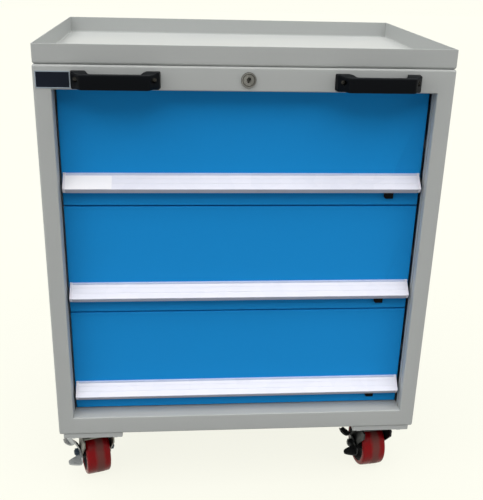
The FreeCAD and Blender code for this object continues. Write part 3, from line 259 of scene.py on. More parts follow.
def useGroup(tree, group, **links):
    node = tree.nodes.new("ShaderNodeGroup")
    node.node_tree = group
    for label, value in links.items():
        key = label.replace("_", " ")
        if isinstance(value, bpy.types.NodeSocket):
            tree.links.new(value, node.inputs[key])
        else:
            node.inputs[key].default_value = value
    return node.outputs


def bumpInto(tree, shader, height, distance):
    bump = addNode(tree, "ShaderNodeBump", None, Height=height, Distance=distance, Strength=1.0)
    tree.links.new(bump.outputs[0], shader.inputs["Normal"])


def rgb(red, green, blue):
    # screen values of 0 to 255 made into scene values
    shares = (red / 255, green / 255, blue / 255)
    return (*(((v + 0.055) / 1.055) ** 2.4 if v > 0.04045 else v / 12.92 for v in shares), 1.0)


# Widths of the edges that handling thins, in metres
wearWidth = {"metal": 0.0009, "plastic": 0.0012}


def paintMaterial(name, tone, settings):
    material, tree, shader, place = newMaterial(name, Specular_IOR_Level=settings["specular"])
    coat = useGroup(tree, powderCoat, Vector=place, Tone=tone, Patch_Depth=settings["patches"],
                    Grain_Scale=settings["grainScale"], Roughness=settings["roughness"])
    worn = useGroup(tree, edgeWear, Vector=place, Width=settings["wearWidth"], Amount=settings["wear"])
    dust = useGroup(tree, dustFilm, Vector=place, Amount=settings["dust"])
    rubbed = mixColor(tree, worn["Mask"], coat["Color"], settings["worn"])
    tree.links.new(mixColor(tree, dust["Mask"], rubbed, settings["dustTone"]), shader.inputs["Base Color"])
    dull = mathNode(tree, "MULTIPLY", dust["Mask"], settings["dustDull"])
    tree.links.new(mathNode(tree, "ADD", coat["Roughness"], dull, True), shader.inputs["Roughness"])
    bumpInto(tree, shader, coat["Height"], settings["grainDepth"])
    return material


paintSettings = {
    "grey": {"specular": 0.35, "patches": 0.05, "grainScale": 950.0, "grainDepth": 0.00005, "roughness": 0.42,
             "wearWidth": 0.0011, "wear": 0.35, "worn": rgb(196, 198, 198), "dust": 0.10,
             "dustTone": rgb(205, 203, 196), "dustDull": 0.4},
    "blue": {"specular": 0.06, "patches": 0.06, "grainScale": 950.0, "grainDepth": 0.00005, "roughness": 0.40,
             "wearWidth": 0.0010, "wear": 0.20, "worn": rgb(96, 150, 190), "dust": 0.03,
             "dustTone": rgb(150, 180, 200), "dustDull": 0.4},
}
greyPaint = paintMaterial("greyPaint", rgb(174, 177, 176), paintSettings["grey"])
bluePaint = paintMaterial("bluePaint", rgb(27, 142, 215), paintSettings["blue"])
boxPaint = paintMaterial("drawerBoxPaint", rgb(170, 173, 173), {**paintSettings["grey"], "dust": 0.2})


def metalMaterial(name, light, dark, settings):
    material, tree, shader, place = newMaterial(name, Metallic=settings["metallic"])
    bloom = useGroup(tree, zincBloom, Vector=place, Light=light, Dark=dark, Scale=settings["cells"])
    lines = useGroup(tree, drawnLines, Vector=place, Stretch=settings["stretch"], Depth=settings["lineDepth"])
    worn = useGroup(tree, edgeWear, Vector=place, Width=wearWidth["metal"], Amount=settings["wear"])
    rubbed = mixColor(tree, worn["Mask"], bloom["Color"], settings["worn"])
    tree.links.new(rubbed, shader.inputs["Base Color"])
    base = mathNode(tree, "ADD", lines["Shade"], settings["roughness"])
    varied = mathNode(tree, "ADD", base, mathNode(tree, "MULTIPLY", bloom["Mask"], settings["bloom"]))
    tree.links.new(varied, shader.inputs["Roughness"])
    bumpInto(tree, shader, lines["Height"], settings["lineBump"])
    return material


metalSettings = {
    "zinc": {"metallic": 0.85, "cells": 160.0, "stretch": (300.0, 300.0, 300.0), "lineDepth": 0.10,
             "lineBump": 0.00002, "wear": 0.3, "worn": rgb(215, 216, 216), "roughness": 0.34, "bloom": 0.12},
    "dark": {"metallic": 0.85, "cells": 160.0, "stretch": (300.0, 300.0, 300.0), "lineDepth": 0.10,
             "lineBump": 0.00003, "wear": 0.6, "worn": rgb(120, 122, 124), "roughness": 0.38, "bloom": 0.12},
    "slide": {"metallic": 1.0, "cells": 90.0, "stretch": (700.0, 5.0, 700.0), "lineDepth": 0.16,
              "lineBump": 0.00002, "wear": 0.2, "worn": rgb(215, 216, 216), "roughness": 0.30, "bloom": 0.06},
    "handle": {"metallic": 0.10, "cells": 40.0, "stretch": (5.0, 1500.0, 1500.0), "lineDepth": 0.12,
               "lineBump": 0.00001, "wear": 0.1, "worn": rgb(245, 245, 250), "roughness": 0.36,
               "bloom": 0.03},
    "lock": {"metallic": 1.0, "cells": 60.0, "stretch": (500.0, 500.0, 500.0), "lineDepth": 0.05,
             "lineBump": 0.000005, "wear": 0.2, "worn": rgb(220, 220, 220), "roughness": 0.22, "bloom": 0.10},
}
zincMetal = metalMaterial("zincMetal", rgb(196, 199, 202), rgb(150, 154, 158), metalSettings["zinc"])
darkMetal = metalMaterial("darkMetal", rgb(58, 60, 62), rgb(34, 35, 36), metalSettings["dark"])
nutMetal = metalMaterial("nutMetal", rgb(74, 88, 104), rgb(40, 50, 62), metalSettings["dark"])
slideMetal = metalMaterial("slideMetal", rgb(196, 199, 201), rgb(166, 170, 173), metalSettings["slide"])
handleMetal = metalMaterial("handleMetal", rgb(230, 230, 241), rgb(222, 223, 235), metalSettings["handle"])
# painted reflection: the handle's tone tinted blue, for the strip under the blue drawer front
stripPaintedReflection = metalMaterial("stripPaintedReflection", rgb(198, 208, 236), rgb(190, 200, 228), metalSettings["handle"])
# painted shade: the handle's tone darkened, for the lip that faces down
lipPaintedShade = metalMaterial("lipPaintedShade", rgb(186, 187, 200), rgb(176, 177, 190), metalSettings["handle"])
# painted shade: zinc toned darker for the left fork, which sits in shade under the cabinet
forkZincPaintedShade = metalMaterial("forkZincPaintedShade", rgb(140, 139, 132), rgb(104, 102, 96), metalSettings["zinc"])
lockMetal = metalMaterial("lockMetal", rgb(140, 139, 138), rgb(100, 99, 98), metalSettings["lock"])
# darker lock tone: painted shade in the flange's ring groove and on the rim's side, and the tone of the
# screws and the flange's nut
lockDark = metalMaterial("lockDark", rgb(72, 70, 68), rgb(44, 43, 42), metalSettings["lock"])


wornShine = 0.2


def plasticMaterial(name, tone, settings):
    material, tree, shader, place = newMaterial(name, Specular_IOR_Level=settings["specular"])
    coat = useGroup(tree, powderCoat, Vector=place, Tone=tone, Patch_Depth=settings["patches"],
                    Grain_Scale=settings["grainScale"], Roughness=settings["roughness"])
    worn = useGroup(tree, edgeWear, Vector=place, Width=wearWidth["plastic"], Amount=settings["wear"])
    rubbed = mixColor(tree, worn["Mask"], coat["Color"], settings["worn"])
    tree.links.new(rubbed, shader.inputs["Base Color"])
    shine = mathNode(tree, "MULTIPLY", worn["Mask"], wornShine)
    tree.links.new(mathNode(tree, "SUBTRACT", coat["Roughness"], shine, True), shader.inputs["Roughness"])
    bumpInto(tree, shader, coat["Height"], settings["grainDepth"])
    return material


plasticSettings = {
    "black": {"specular": 0.06, "patches": 0.2, "grainScale": 1500.0, "grainDepth": 0.00006,
              "roughness": 0.42, "wear": 0.4, "worn": rgb(30, 31, 33)},
    "plate": {"specular": 0.12, "patches": 0.15, "grainScale": 700.0, "grainDepth": 0.00002,
              "roughness": 0.32, "wear": 0.3, "worn": rgb(70, 74, 80)},
    "rim": {"specular": 0.4, "patches": 0.10, "grainScale": 900.0, "grainDepth": 0.00002,
            "roughness": 0.35, "wear": 0.3, "worn": rgb(150, 158, 165)},
    "cap": {"specular": 0.4, "patches": 0.05, "grainScale": 1200.0, "grainDepth": 0.00004,
            "roughness": 0.42, "wear": 0.2, "worn": rgb(200, 200, 200)},
    "label": {"specular": 0.5, "patches": 0.05, "grainScale": 300.0, "grainDepth": 0.00002,
              "roughness": 0.3, "wear": 0.2, "worn": rgb(215, 214, 208)},
    "tread": {"specular": 0.15, "patches": 0.30, "grainScale": 420.0, "grainDepth": 0.00006,
              "roughness": 0.26, "wear": 0.3, "worn": rgb(104, 30, 36)},
    "wheel": {"specular": 0.08, "patches": 0.25, "grainScale": 600.0, "grainDepth": 0.0001,
              "roughness": 0.5, "wear": 0.3, "worn": rgb(36, 36, 38)},
}
blackPlastic = plasticMaterial("blackPlastic", rgb(7, 9, 13), plasticSettings["black"])
platePlastic = plasticMaterial("platePlastic", rgb(12, 20, 34), plasticSettings["plate"])
plateRim = plasticMaterial("plateRim", rgb(150, 163, 174), plasticSettings["rim"])
capPlastic = plasticMaterial("capPlastic", rgb(226, 224, 234), plasticSettings["cap"])
labelPlastic = plasticMaterial("labelPlastic", rgb(240, 239, 243), plasticSettings["label"])
redTread = plasticMaterial("redTread", rgb(132, 6, 14), plasticSettings["tread"])
# painted shade: near black, for the inside of the keyhole
keyholePaintedShade = plasticMaterial("keyholePaintedShade", rgb(9, 9, 9), {**plasticSettings["wheel"], "wear": 0.0})
wheelBlack = plasticMaterial("wheelBlack", rgb(18, 18, 20), plasticSettings["wheel"])


# The painted reflection band on the tread: where it lies across the tread, in shares of the width, and how
# strong it is
bandSettings = {"middle": 0.56, "halfWidth": 0.22, "amount": 0.62, "tone": rgb(92, 74, 68), "dull": 0.35}


def addPaintedReflectionBand(material, settings):
    # lays the painted reflection band over a finish, across the tread by its UV
    tree = material.node_tree
    shader = tree.nodes["Principled BSDF"]
    place = tree.nodes.new("ShaderNodeTexCoord").outputs
    across = addNode(tree, "ShaderNodeSeparateXYZ", None, Vector=place["UV"]).outputs[1]
    band = useGroup(tree, paintedReflectionBand, Vector=place["Object"], Across=across, Middle=settings["middle"],
                    Half_Width=settings["halfWidth"], Amount=settings["amount"])
    tone, rough = shader.inputs["Base Color"], shader.inputs["Roughness"]
    tree.links.new(mixColor(tree, band["Mask"], tone.links[0].from_socket, settings["tone"]), tone)
    dull = mathNode(tree, "MULTIPLY", band["Mask"], settings["dull"])
    tree.links.new(mathNode(tree, "ADD", rough.links[0].from_socket, dull, True), rough)


addPaintedReflectionBand(redTread, bandSettings)
print("stage: materials")


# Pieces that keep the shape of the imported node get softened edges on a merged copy.

behaviour = frame["record"]["behaviour"]
bodyOf = {node: body for body, members in behaviour["bodies"].items() for node in members}
jointOf = {joint["name"]: joint for joint in behaviour["joints"]}
drawers = (1, 2, 3)
mergeSettings = {"copy": 0.002, "new": 0.001, "flat": 0.3}


def finishPiece(bm, name, node, materials, smoothAngle=35):
    # puts a shape in the scene in place of a node: it rides on the node's body, and the node is hidden
    mesh = toMesh(bm, name)
    piece = bpy.data.objects.new(name, mesh)
    scene.collection.objects.link(piece)
    for material in materials if isinstance(materials, (list, tuple)) else [materials]:
        mesh.materials.append(material)
    mesh.shade_smooth()
    mesh.set_sharp_from_angle(angle=math.radians(smoothAngle))
    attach(piece, bodyOf[node])
    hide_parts(node)
    return piece


def mergedCopy(node):
    bm = bmesh.new()
    bm.from_mesh(nodes[node].data)
    bmesh.ops.remove_doubles(bm, verts=bm.verts, dist=mergeSettings["copy"] * mm)
    flat = math.radians(mergeSettings["flat"])
    bmesh.ops.dissolve_limit(bm, angle_limit=flat, verts=bm.verts, edges=bm.edges)
    return bm


def addBevel(piece, width, segments=2, angle=32):
    # rounds the edges that turn by more than an angle, by a width in mm
    bevel = piece.modifiers.new("edges", "BEVEL")
    bevel.width = width * mm
    bevel.segments = segments
    bevel.limit_method = "ANGLE"
    bevel.angle_limit = math.radians(angle)
    bevel.use_clamp_overlap = True
    bevel.harden_normals = True
    bevel.miter_outer = "MITER_ARC"


def toMesh(bm, name):
    mesh = bpy.data.meshes.new(name)
    bm.to_mesh(mesh)
    bm.free()
    return mesh


def softened(node, material, width, segments=2):
    piece = finishPiece(mergedCopy(node), node + "_dressed", node, material)
    addBevel(piece, width, segments)
    return piece


# Shapes that new pieces start from

def outlineFace(bm, points):
    return bm.faces.new([bm.verts.new(point) for point in points])


def pullFace(bm, face, move):
    # extrudes a lone face into a closed bar
    grown = bmesh.ops.extrude_face_region(bm, geom=[face])["geom"]
    bmesh.ops.translate(bm, verts=[v for v in grown if isinstance(v, bmesh.types.BMVert)], vec=move)


def closeUp(bm):
    bmesh.ops.remove_doubles(bm, verts=bm.verts, dist=mergeSettings["new"] * mm)
    bmesh.ops.recalc_face_normals(bm, faces=bm.faces)


def turnProfile(bm, profile, steps, closed=True):
    # spins a profile of (along, radius) points, in mm, about X
    spots = [bm.verts.new((along * mm, 0.0, radius * mm)) for along, radius in profile]
    pairs = zip(spots, spots[1:] + spots[:1] if closed else spots[1:])
    chain = [bm.edges.new(pair) for pair in pairs]
    bmesh.ops.spin(bm, geom=spots + chain, cent=(0, 0, 0), axis=(1, 0, 0), dvec=(0, 0, 0),
                   angle=2 * math.pi, steps=steps, use_merge=True, use_normal_flip=False, use_duplicate=False)
    closeUp(bm)


def hexagonBar(bm, radius, low, high, turn=0.0):
    # a six-sided bar along X, in mm
    angles = [turn + 2 * math.pi * corner / 6 for corner in range(6)]
    ring = [(low * mm, radius * mm * math.cos(angle), radius * mm * math.sin(angle)) for angle in angles]
    before = set(bm.faces)
    pullFace(bm, outlineFace(bm, ring), ((high - low) * mm, 0, 0))
    return [face for face in bm.faces if face not in before]


def carved(bm, cutter, name):
    # cuts one closed shape out of another
    base = bpy.data.objects.new(name, toMesh(bm, name))
    tool = bpy.data.objects.new(name + "Cutter", toMesh(cutter, name + "Cutter"))
    for part in (base, tool):
        scene.collection.objects.link(part)
    cut = base.modifiers.new("cut", "BOOLEAN")
    cut.operation = "DIFFERENCE"
    cut.object = tool
    cut.solver = "EXACT"
    ready = base.evaluated_get(bpy.context.evaluated_depsgraph_get())
    result = bmesh.new()
    result.from_mesh(ready.data)
    for part in (base, tool):
        mesh = part.data
        bpy.data.objects.remove(part)
        bpy.data.meshes.remove(mesh)
    return result


# Sheet metal, with the width of each rounded edge in mm
sheetEdges = {"top_rail": 0.2, "bottom_rail": 0.2, "back_panel": 0.25, "top_tray": 0.5, "caster_pads": 0.5,
              "slide_posts": 0.25}
for node, width in sheetEdges.items():
    softened(node, greyPaint, width)


# Side panels: the fold beside the drawers has a seam down it, and a gap behind its end
sideSettings = {"fold": 328.5, "across": (-1.0, 3.0), "seam": (15.5, 19.0), "end": (27.5, 41.0),
                "low": 180.0, "high": 827.0, "edge": 0.25}


def makeSide(side, sign, settings):
    node = f"{side}_side_panel"
    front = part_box(node)[0][1]
    low, tall = settings["low"] * mm, (settings["high"] - settings["low"]) * mm
    inner, outer = (sign * (settings["fold"] + across) * mm for across in settings["across"])
    cutter = bmesh.new()
    for near, far in (settings["seam"], settings["end"]):
        near, far = front + near * mm, front + far * mm
        outline = [(inner, near, low), (outer, near, low), (outer, far, low), (inner, far, low)]
        pullFace(cutter, outlineFace(cutter, outline), (0, 0, tall))
    closeUp(cutter)
    piece = finishPiece(carved(mergedCopy(node), cutter, node), node + "_seamed", node, greyPaint)
    addBevel(piece, settings["edge"])


for side, sign in (("left", -1), ("right", 1)):
    makeSide(side, sign, sideSettings)
drawerEdge = 0.25
for drawer in drawers:
    softened(f"drawer_front_{drawer}", bluePaint, drawerEdge)
    softened(f"drawer_box_{drawer}", boxPaint, drawerEdge)
print("stage: sheet metal")


# These nodes keep a finish of their own, also where a finer piece stands for them.
finishes = {
    greyPaint: ["bottom_panel", "top_deck"],
    zincMetal: ["caster_bolts", "front_caster_plates", "rear_caster_brackets", "rear_caster_axles",
                "front_axle_left", "brake_pedal_left", "lock_bar", "lock_bar_guides"],
    forkZincPaintedShade: ["front_fork_left"],
    darkMetal: ["front_fork_right", "front_axle_right", "brake_pedal_right"],
    slideMetal: ["cabinet_slide_members"] + [f"{kind}_slide_members_{drawer}" for drawer in drawers
                                             for kind in ("drawer", "middle")],
    lockMetal: ["lock_barrel", "lock_plug", "lock_cam", "pull_handle_screws"],
    blackPlastic: ["pull_handle_left", "pull_handle_right"]
                  + [f"drawer_latch_{drawer}" for drawer in drawers],
    platePlastic: ["name_plate"],
    handleMetal: [f"drawer_handle_{drawer}" for drawer in drawers],
    capPlastic: [f"handle_end_caps_{drawer}" for drawer in drawers],
    labelPlastic: ["label_strip_1"],
    redTread: [f"{row}_wheel_tread_{side}" for row in ("front", "rear") for side in ("left", "right")],
    wheelBlack: [f"{row}_wheel_core_{side}" for row in ("front", "rear") for side in ("left", "right")],
}
for material, names in finishes.items():
    for node in names:
        nodes[node].data.materials.clear()
        nodes[node].data.materials.append(material)

# Small pieces, with the width of each rounded edge in mm
smallEdges = {
    "pull_handle_left": (blackPlastic, 0.9), "pull_handle_right": (blackPlastic, 0.9),
    "front_fork_left": (forkZincPaintedShade, 0.6), "front_fork_right": (darkMetal, 0.6),
    "front_caster_plates": ([zincMetal, darkMetal], 0.5), "rear_caster_brackets": (zincMetal, 0.5),
    "rear_caster_axles": (zincMetal, 0.4), "caster_bolts": (zincMetal, 0.4),
    "lock_cam": (zincMetal, 0.3), "lock_bar": (zincMetal, 0.2), "lock_bar_guides": (zincMetal, 0.2),
}
for node, (material, width) in smallEdges.items():
    piece = softened(node, material, width)
    if node == "front_caster_plates":
        # the right-hand caster is given the darker metal
        for face in piece.data.polygons:
            face.material_index = 1 if face.center.x > 0 else 0
slideEdge, latchEdge, latchSteps = 0.2, 0.7, 3
for drawer in drawers:
    softened(f"drawer_latch_{drawer}", blackPlastic, latchEdge, latchSteps)
    softened(f"drawer_slide_members_{drawer}", slideMetal, slideEdge)
    softened(f"middle_slide_members_{drawer}", slideMetal, slideEdge)
softened("cabinet_slide_members", slideMetal, slideEdge)
print("stage: small pieces")


# Drawer handles: an extruded rail with two fine grooves down its slope and a nick above its lip
handleSettings = {
    "flange": 3.0, "strip": 4.0, "slope": 19.8, "wall": 2.0, "foot": 32.5, "undercut": 5.5, "curl": 9.5,
    "backDrop": 22.0, "lipFrom": 24.0, "topChamfer": 0.6, "land": 0.4, "nick": 1.2, "nickTop": 0.6,
    "nickDepth": 0.8, "lipChamfer": 0.2, "curlLap": 0.8, "throat": 0.9, "edge": 0.15, "stripLap": 0.1,
    "grooves": (0.24, 0.60), "grooveWidth": 0.9, "grooveDepth": 0.35}
capSettings = {"length": 5.0, "proud": 0.2, "foot": 3.0, "edge": 0.8, "edgeSteps": 3}


def handleFront(settings):
    # (forward, up) points in mm down the handle's outside, from its upper rear edge to the foot of its lip
    flange, strip, slope = settings["flange"], settings["strip"], settings["slope"]
    chamfer = settings["topChamfer"]
    points = [(0.0, 0.0), (flange - chamfer, 0.0), (flange, -chamfer), (flange, -strip)]
    for share in settings["grooves"]:
        for along, depth in ((-0.5, 0.0), (0.0, settings["grooveDepth"]), (0.5, 0.0)):
            reach = share * slope + along * settings["grooveWidth"]
            points.append((flange + reach - depth, -strip - reach - depth))
    face, edge = flange + slope, -strip - slope
    nicked, low, chamfer = face - settings["nickDepth"], edge - settings["nick"], settings["lipChamfer"]
    return points + [(face, edge), (face, edge - settings["land"]), (nicked, edge - settings["nickTop"]),
                     (nicked, low), (face - chamfer, low - chamfer),
                     (face - settings["undercut"], -settings["foot"])]


def handleProfile(settings):
    # the whole outline: the outside, then back up the inside
    flange, strip, wall = settings["flange"], settings["strip"], settings["wall"]
    face, edge, foot = flange + settings["slope"], -strip - settings["slope"], -settings["foot"]
    curl, throat = face - settings["curl"], wall + settings["throat"]
    inFront = face - settings["undercut"] - wall + settings["curlLap"]
    return handleFront(settings) + [
        (curl, foot), (curl, foot + wall), (inFront, foot + wall), (face - throat, edge - throat),
        (flange + wall / 2, -strip - 1.5 * wall), (wall, -strip - 2 * wall),
        (wall, -settings["backDrop"]), (0.0, -settings["backDrop"])]


def makeHandleRail(drawer, settings):
    node = f"drawer_handle_{drawer}"
    low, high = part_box(node)
    bm = bmesh.new()
    outline = [(low[0], high[1] - forward * mm, high[2] + up * mm) for forward, up in handleProfile(settings)]
    pullFace(bm, outlineFace(bm, outline), (high[0] - low[0], 0, 0))
    closeUp(bm)
    stripFoot = settings["stripLap"] - settings["strip"]
    for face in bm.faces:
        # painted light: the strip above the slope is tinted blue as a painted reflection of the drawer front,
        # and the lip below it is darker as painted shade
        height = (face.calc_center_median().z - high[2]) / mm
        face.material_index = 1 if height > stripFoot else 2 if height < -settings["lipFrom"] else 0
    piece = finishPiece(bm, node + "_rail", node, [handleMetal, stripPaintedReflection, lipPaintedShade], 25)
    addBevel(piece, settings["edge"], 2, 30)


def makeHandleCaps(drawer, rail, settings):
    # the end caps follow the rail's outside, a little proud of it
    node = f"handle_end_caps_{drawer}"
    low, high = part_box(node)
    proud, flange, strip = settings["proud"], rail["flange"], rail["strip"]
    face, footFront = flange + rail["slope"], flange + rail["slope"] - rail["undercut"]
    corners = [(0.0, proud), (flange + proud, proud), (flange + proud, -strip),
               (face + proud, -strip - rail["slope"]), (footFront + proud, -rail["foot"]),
               (footFront - settings["foot"], -rail["foot"]), (0.0, -rail["backDrop"])]
    bm = bmesh.new()
    for start in (low[0], high[0] - settings["length"] * mm):
        outline = [(start, high[1] - forward * mm, high[2] + (up - proud) * mm) for forward, up in corners]
        pullFace(bm, outlineFace(bm, outline), (settings["length"] * mm, 0, 0))
    closeUp(bm)
    piece = finishPiece(bm, node + "_moulded", node, capPlastic)
    addBevel(piece, settings["edge"], settings["edgeSteps"])


for drawer in drawers:
    makeHandleRail(drawer, handleSettings)
    makeHandleCaps(drawer, handleSettings, capSettings)


# Label: a blank strip with rounded corners that lies on the slope
labelSettings = {"corner": 2.0, "cornerSteps": 4, "thickest": 1.0, "shift": 1.5, "edge": 0.08}


def makeLabel(settings):
    node = "label_strip_1"
    bm = mergedCopy(node)
    acrossEdges = [edge for edge in bm.edges if abs(edge.verts[0].co.x - edge.verts[1].co.x) < 0.001 * mm
                   and edge.calc_length() < settings["thickest"] * mm and len(edge.link_faces) == 2]
    bmesh.ops.bevel(bm, geom=acrossEdges, offset=settings["corner"] * mm, segments=settings["cornerSteps"],
                    profile=0.5, affect="EDGES", material=-1)
    bmesh.ops.translate(bm, verts=bm.verts, vec=(-settings["shift"] * mm, 0, 0))
    piece = finishPiece(bm, "label_blank", node, labelPlastic)
    addBevel(piece, settings["edge"], 1, 40)


makeLabel(labelSettings)


# Name plate: left bare, a dark field inside a thin raised rim
plateSettings = {"rim": 1.5, "rimSlope": 0.15, "sink": 0.3, "grow": 0.8, "edge": 0.08}


def makePlate(settings):
    node = "name_plate"
    bm = mergedCopy(node)
    low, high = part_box(node)
    centre = (Vector(low) + Vector(high)) / 2
    for spot in bm.verts:
        for axis in (0, 2):
            spot.co[axis] += math.copysign(settings["grow"] * mm, spot.co[axis] - centre[axis])
    front = min(bm.faces, key=lambda face: face.calc_center_median().y)
    for face in bm.faces:
        face.material_index = 1
    bmesh.ops.inset_region(bm, faces=[front], thickness=settings["rim"] * mm, use_even_offset=True)
    bmesh.ops.inset_region(bm, faces=[front], thickness=settings["rimSlope"] * mm,
                           depth=-settings["sink"] * mm, use_even_offset=True)
    front.material_index = 0
    piece = finishPiece(bm, "plate_bare", node, [platePlastic, plateRim])
    addBevel(piece, settings["edge"], 2, 40)


makePlate(plateSettings)
print("stage: handles, label, plate")


# Pull handle screws: cap heads with hexagon sockets, their shanks and nuts
roundShare = 0.3  # how far in the middle point of a rounded corner stands
screwSettings = {"apart": 128.0, "headRadius": 4.2, "headLength": 5.0, "edge": 0.7, "socket": 2.3,
                 "socketDepth": 2.6, "socketLead": 1.0, "socketTurn": 0.4, "shank": 2.5, "tip": 0.8,
                 "nutRadius": 4.2, "nutLength": 4.0, "nutStart": 21.5, "end": 27.5, "steps": 28}


def screwShape(settings):
    # one screw along X with its head's face at 0
    radius, length, edge = settings["headRadius"], settings["headLength"], settings["edge"]
    shank, end, tip = settings["shank"], settings["end"], settings["tip"]
    bm = bmesh.new()
    profile = [(0.0, 0.0), (0.0, radius - edge), (edge * roundShare, radius - edge * roundShare),
               (edge, radius), (length, radius), (length, shank), (end - tip, shank), (end, shank - tip),
               (end, 0.0)]
    turnProfile(bm, profile, settings["steps"], closed=False)
    cutter = bmesh.new()
    hexagonBar(cutter, settings["socket"], -settings["socketLead"], settings["socketDepth"],
               settings["socketTurn"])
    closeUp(cutter)
    bm = carved(bm, cutter, "screw")
    nutStart = settings["nutStart"]
    hexagonBar(bm, settings["nutRadius"], nutStart, nutStart + settings["nutLength"])
    return bm


def makeScrews(settings):
    node = "pull_handle_screws"
    low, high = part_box(node)
    height = (low[2] + high[2]) / 2
    whole = bmesh.new()
    for side in ("left", "right"):
        handleLow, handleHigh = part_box(f"pull_handle_{side}")
        middle = (handleLow[0] + handleHigh[0]) / 2
        for sign in (-1, 1):
            bm = screwShape(settings)
            spot = Matrix.Translation((middle + sign * settings["apart"] / 2 * mm, low[1], height))
            place = spot @ Matrix.Rotation(math.radians(90), 4, "Z")
            bmesh.ops.transform(bm, matrix=place, verts=bm.verts)
            part = toMesh(bm, "screwPart")
            whole.from_mesh(part)
            bpy.data.meshes.remove(part)
    bmesh.ops.recalc_face_normals(whole, faces=whole.faces)
    finishPiece(whole, "handle_screws_capped", node, lockDark, 30)


makeScrews(screwSettings)


# Lock: a flange whose ring groove is dark with painted shade, and a plug whose keyhole narrows downwards
flangeSettings = {"rim": 13.0, "rimEdge": 1.4, "face": 3.0, "ringOuter": 10.6, "ringInner": 9.4,
                  "ringDepth": 1.3, "ringEdge": 0.2, "inner": 7.1, "mouth": 0.3, "barrel": 9.2,
                  "length": 22.0, "nut": 12.0, "nutFrom": 1.5, "nutTo": 6.5, "steps": 64, "slack": 0.1}
plugSettings = {"sunk": 0.5, "skin": 0.9, "tilt": 14.0, "top": 5.2, "foot": 2.6, "tall": 9.6, "depth": 3.6,
                "shoulder": (-0.5, 0.8), "corner": 0.8, "lead": 2.0}


def makeLockFlange(centre, settings):
    face, rim, edge = -settings["face"], settings["rim"], settings["rimEdge"]
    inner, outer, soft = settings["ringInner"], settings["ringOuter"], settings["ringEdge"]
    ringFoot, hole, mouth = face + settings["ringDepth"], settings["inner"], settings["mouth"]
    length, barrel = settings["length"], settings["barrel"]
    bm = bmesh.new()
    profile = [(length, hole), (face + mouth, hole), (face, hole + mouth), (face, inner - soft),
               (face + soft, inner), (ringFoot, inner), (ringFoot, outer), (face + soft, outer),
               (face, outer + soft), (face, rim - edge), (face + edge * roundShare, rim - edge * roundShare),
               (face + edge, rim), (0.0, rim), (0.0, barrel), (length, barrel)]
    turnProfile(bm, profile, settings["steps"])
    for part in bm.faces:
        # painted shade: the ring's groove and the rim's side are darker
        middle = part.calc_center_median()
        radius = math.hypot(middle.y, middle.z) / mm
        inRing = inner - settings["slack"] < radius < outer + settings["slack"]
        if middle.x < -settings["slack"] * mm and (inRing or radius > rim - edge / 2):
            part.material_index = 1
    for part in hexagonBar(bm, settings["nut"], settings["nutFrom"], settings["nutTo"]):
        part.material_index = 1
    turn = Matrix.Translation(centre) @ Matrix.Rotation(math.radians(90), 4, "Z")
    bmesh.ops.transform(bm, matrix=turn, verts=bm.verts)
    finishPiece(bm, "lock_flange", "lock_barrel", [lockMetal, lockDark], 30)


def makeLockPlug(face, settings, reach):
    top, foot, tall = settings["top"] / 2, settings["foot"] / 2, settings["tall"] / 2
    under, over = settings["shoulder"]
    corner, lead = settings["corner"], settings["lead"]
    outline = [(-foot, -tall), (foot, -tall), (foot, under), (top, over), (top, tall - corner),
               (top - corner, tall), (corner - top, tall), (-top, tall - corner), (-top, over),
               (-foot, under)]
    cutter = bmesh.new()
    pullFace(cutter, outlineFace(cutter, [(x * mm, -lead * mm, z * mm) for x, z in outline]),
             (0, (settings["depth"] + lead) * mm, 0))
    closeUp(cutter)
    start = Matrix.Translation(face + Vector((0, settings["sunk"] * mm, 0)))
    place = start @ Matrix.Rotation(math.radians(settings["tilt"]), 4, "Y")
    bmesh.ops.transform(cutter, matrix=place, verts=cutter.verts)
    bmesh.ops.recalc_face_normals(cutter, faces=cutter.faces)
    bm = mergedCopy("lock_plug")
    bmesh.ops.triangulate(bm, faces=bm.faces[:])
    bm = carved(bm, cutter, "plug")
    for part in bm.faces:
        # painted shade: the keyhole's walls and floor are dark
        away = part.calc_center_median() - face
        inside = math.hypot(away.x, away.z) < reach * mm
        part.material_index = 1 if inside and away.y > settings["skin"] * mm else 0
    finishPiece(bm, "lock_plug_keyed", "lock_plug", [lockMetal, keyholePaintedShade], 30)


def makeLock():
    low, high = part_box("lock_barrel")
    face = Vector(((low[0] + high[0]) / 2, low[1], (low[2] + high[2]) / 2))
    makeLockFlange(face + Vector((0, flangeSettings["face"] * mm, 0)), flangeSettings)
    makeLockPlug(face, plugSettings, flangeSettings["inner"] - flangeSettings["mouth"])


makeLock()
print("stage: screws and lock")


# Casters: moulded treads on cast cores, turned about the wheel's own axis
treadSettings = {"radius": 50.0, "half": 25.0, "seat": 40.0, "shoulder": 5.0, "shoulderSteps": 4,
                 "crown": 0.5, "flat": (0.4, 0.12), "seamHalf": 0.5, "seamTop": 0.4, "seamHeight": 0.25,
                 "lipInset": 3.0, "lipEdge": 0.5, "bulge": 0.3, "steps": 96}
coreSettings = {"hubHalf": 28.0, "bore": 5.1, "hub": 14.0, "hubEdge": (0.8, 2.5), "hubLand": (3.0, 1.4),
                "web": 12.0, "webRoot": (1.5, 1.0, 3.5), "rimRoot": (2.0, 3.0), "rimHalf": 23.5,
                "rimDepth": 8.0, "rimEdge": (0.8, 3.6, 2.6), "outer": 39.95, "steps": 72}


def mirrored(side):
    # a wheel's profile from one face to the other, from the points of one half
    return side + [(-along, reach) for along, reach in reversed(side)]


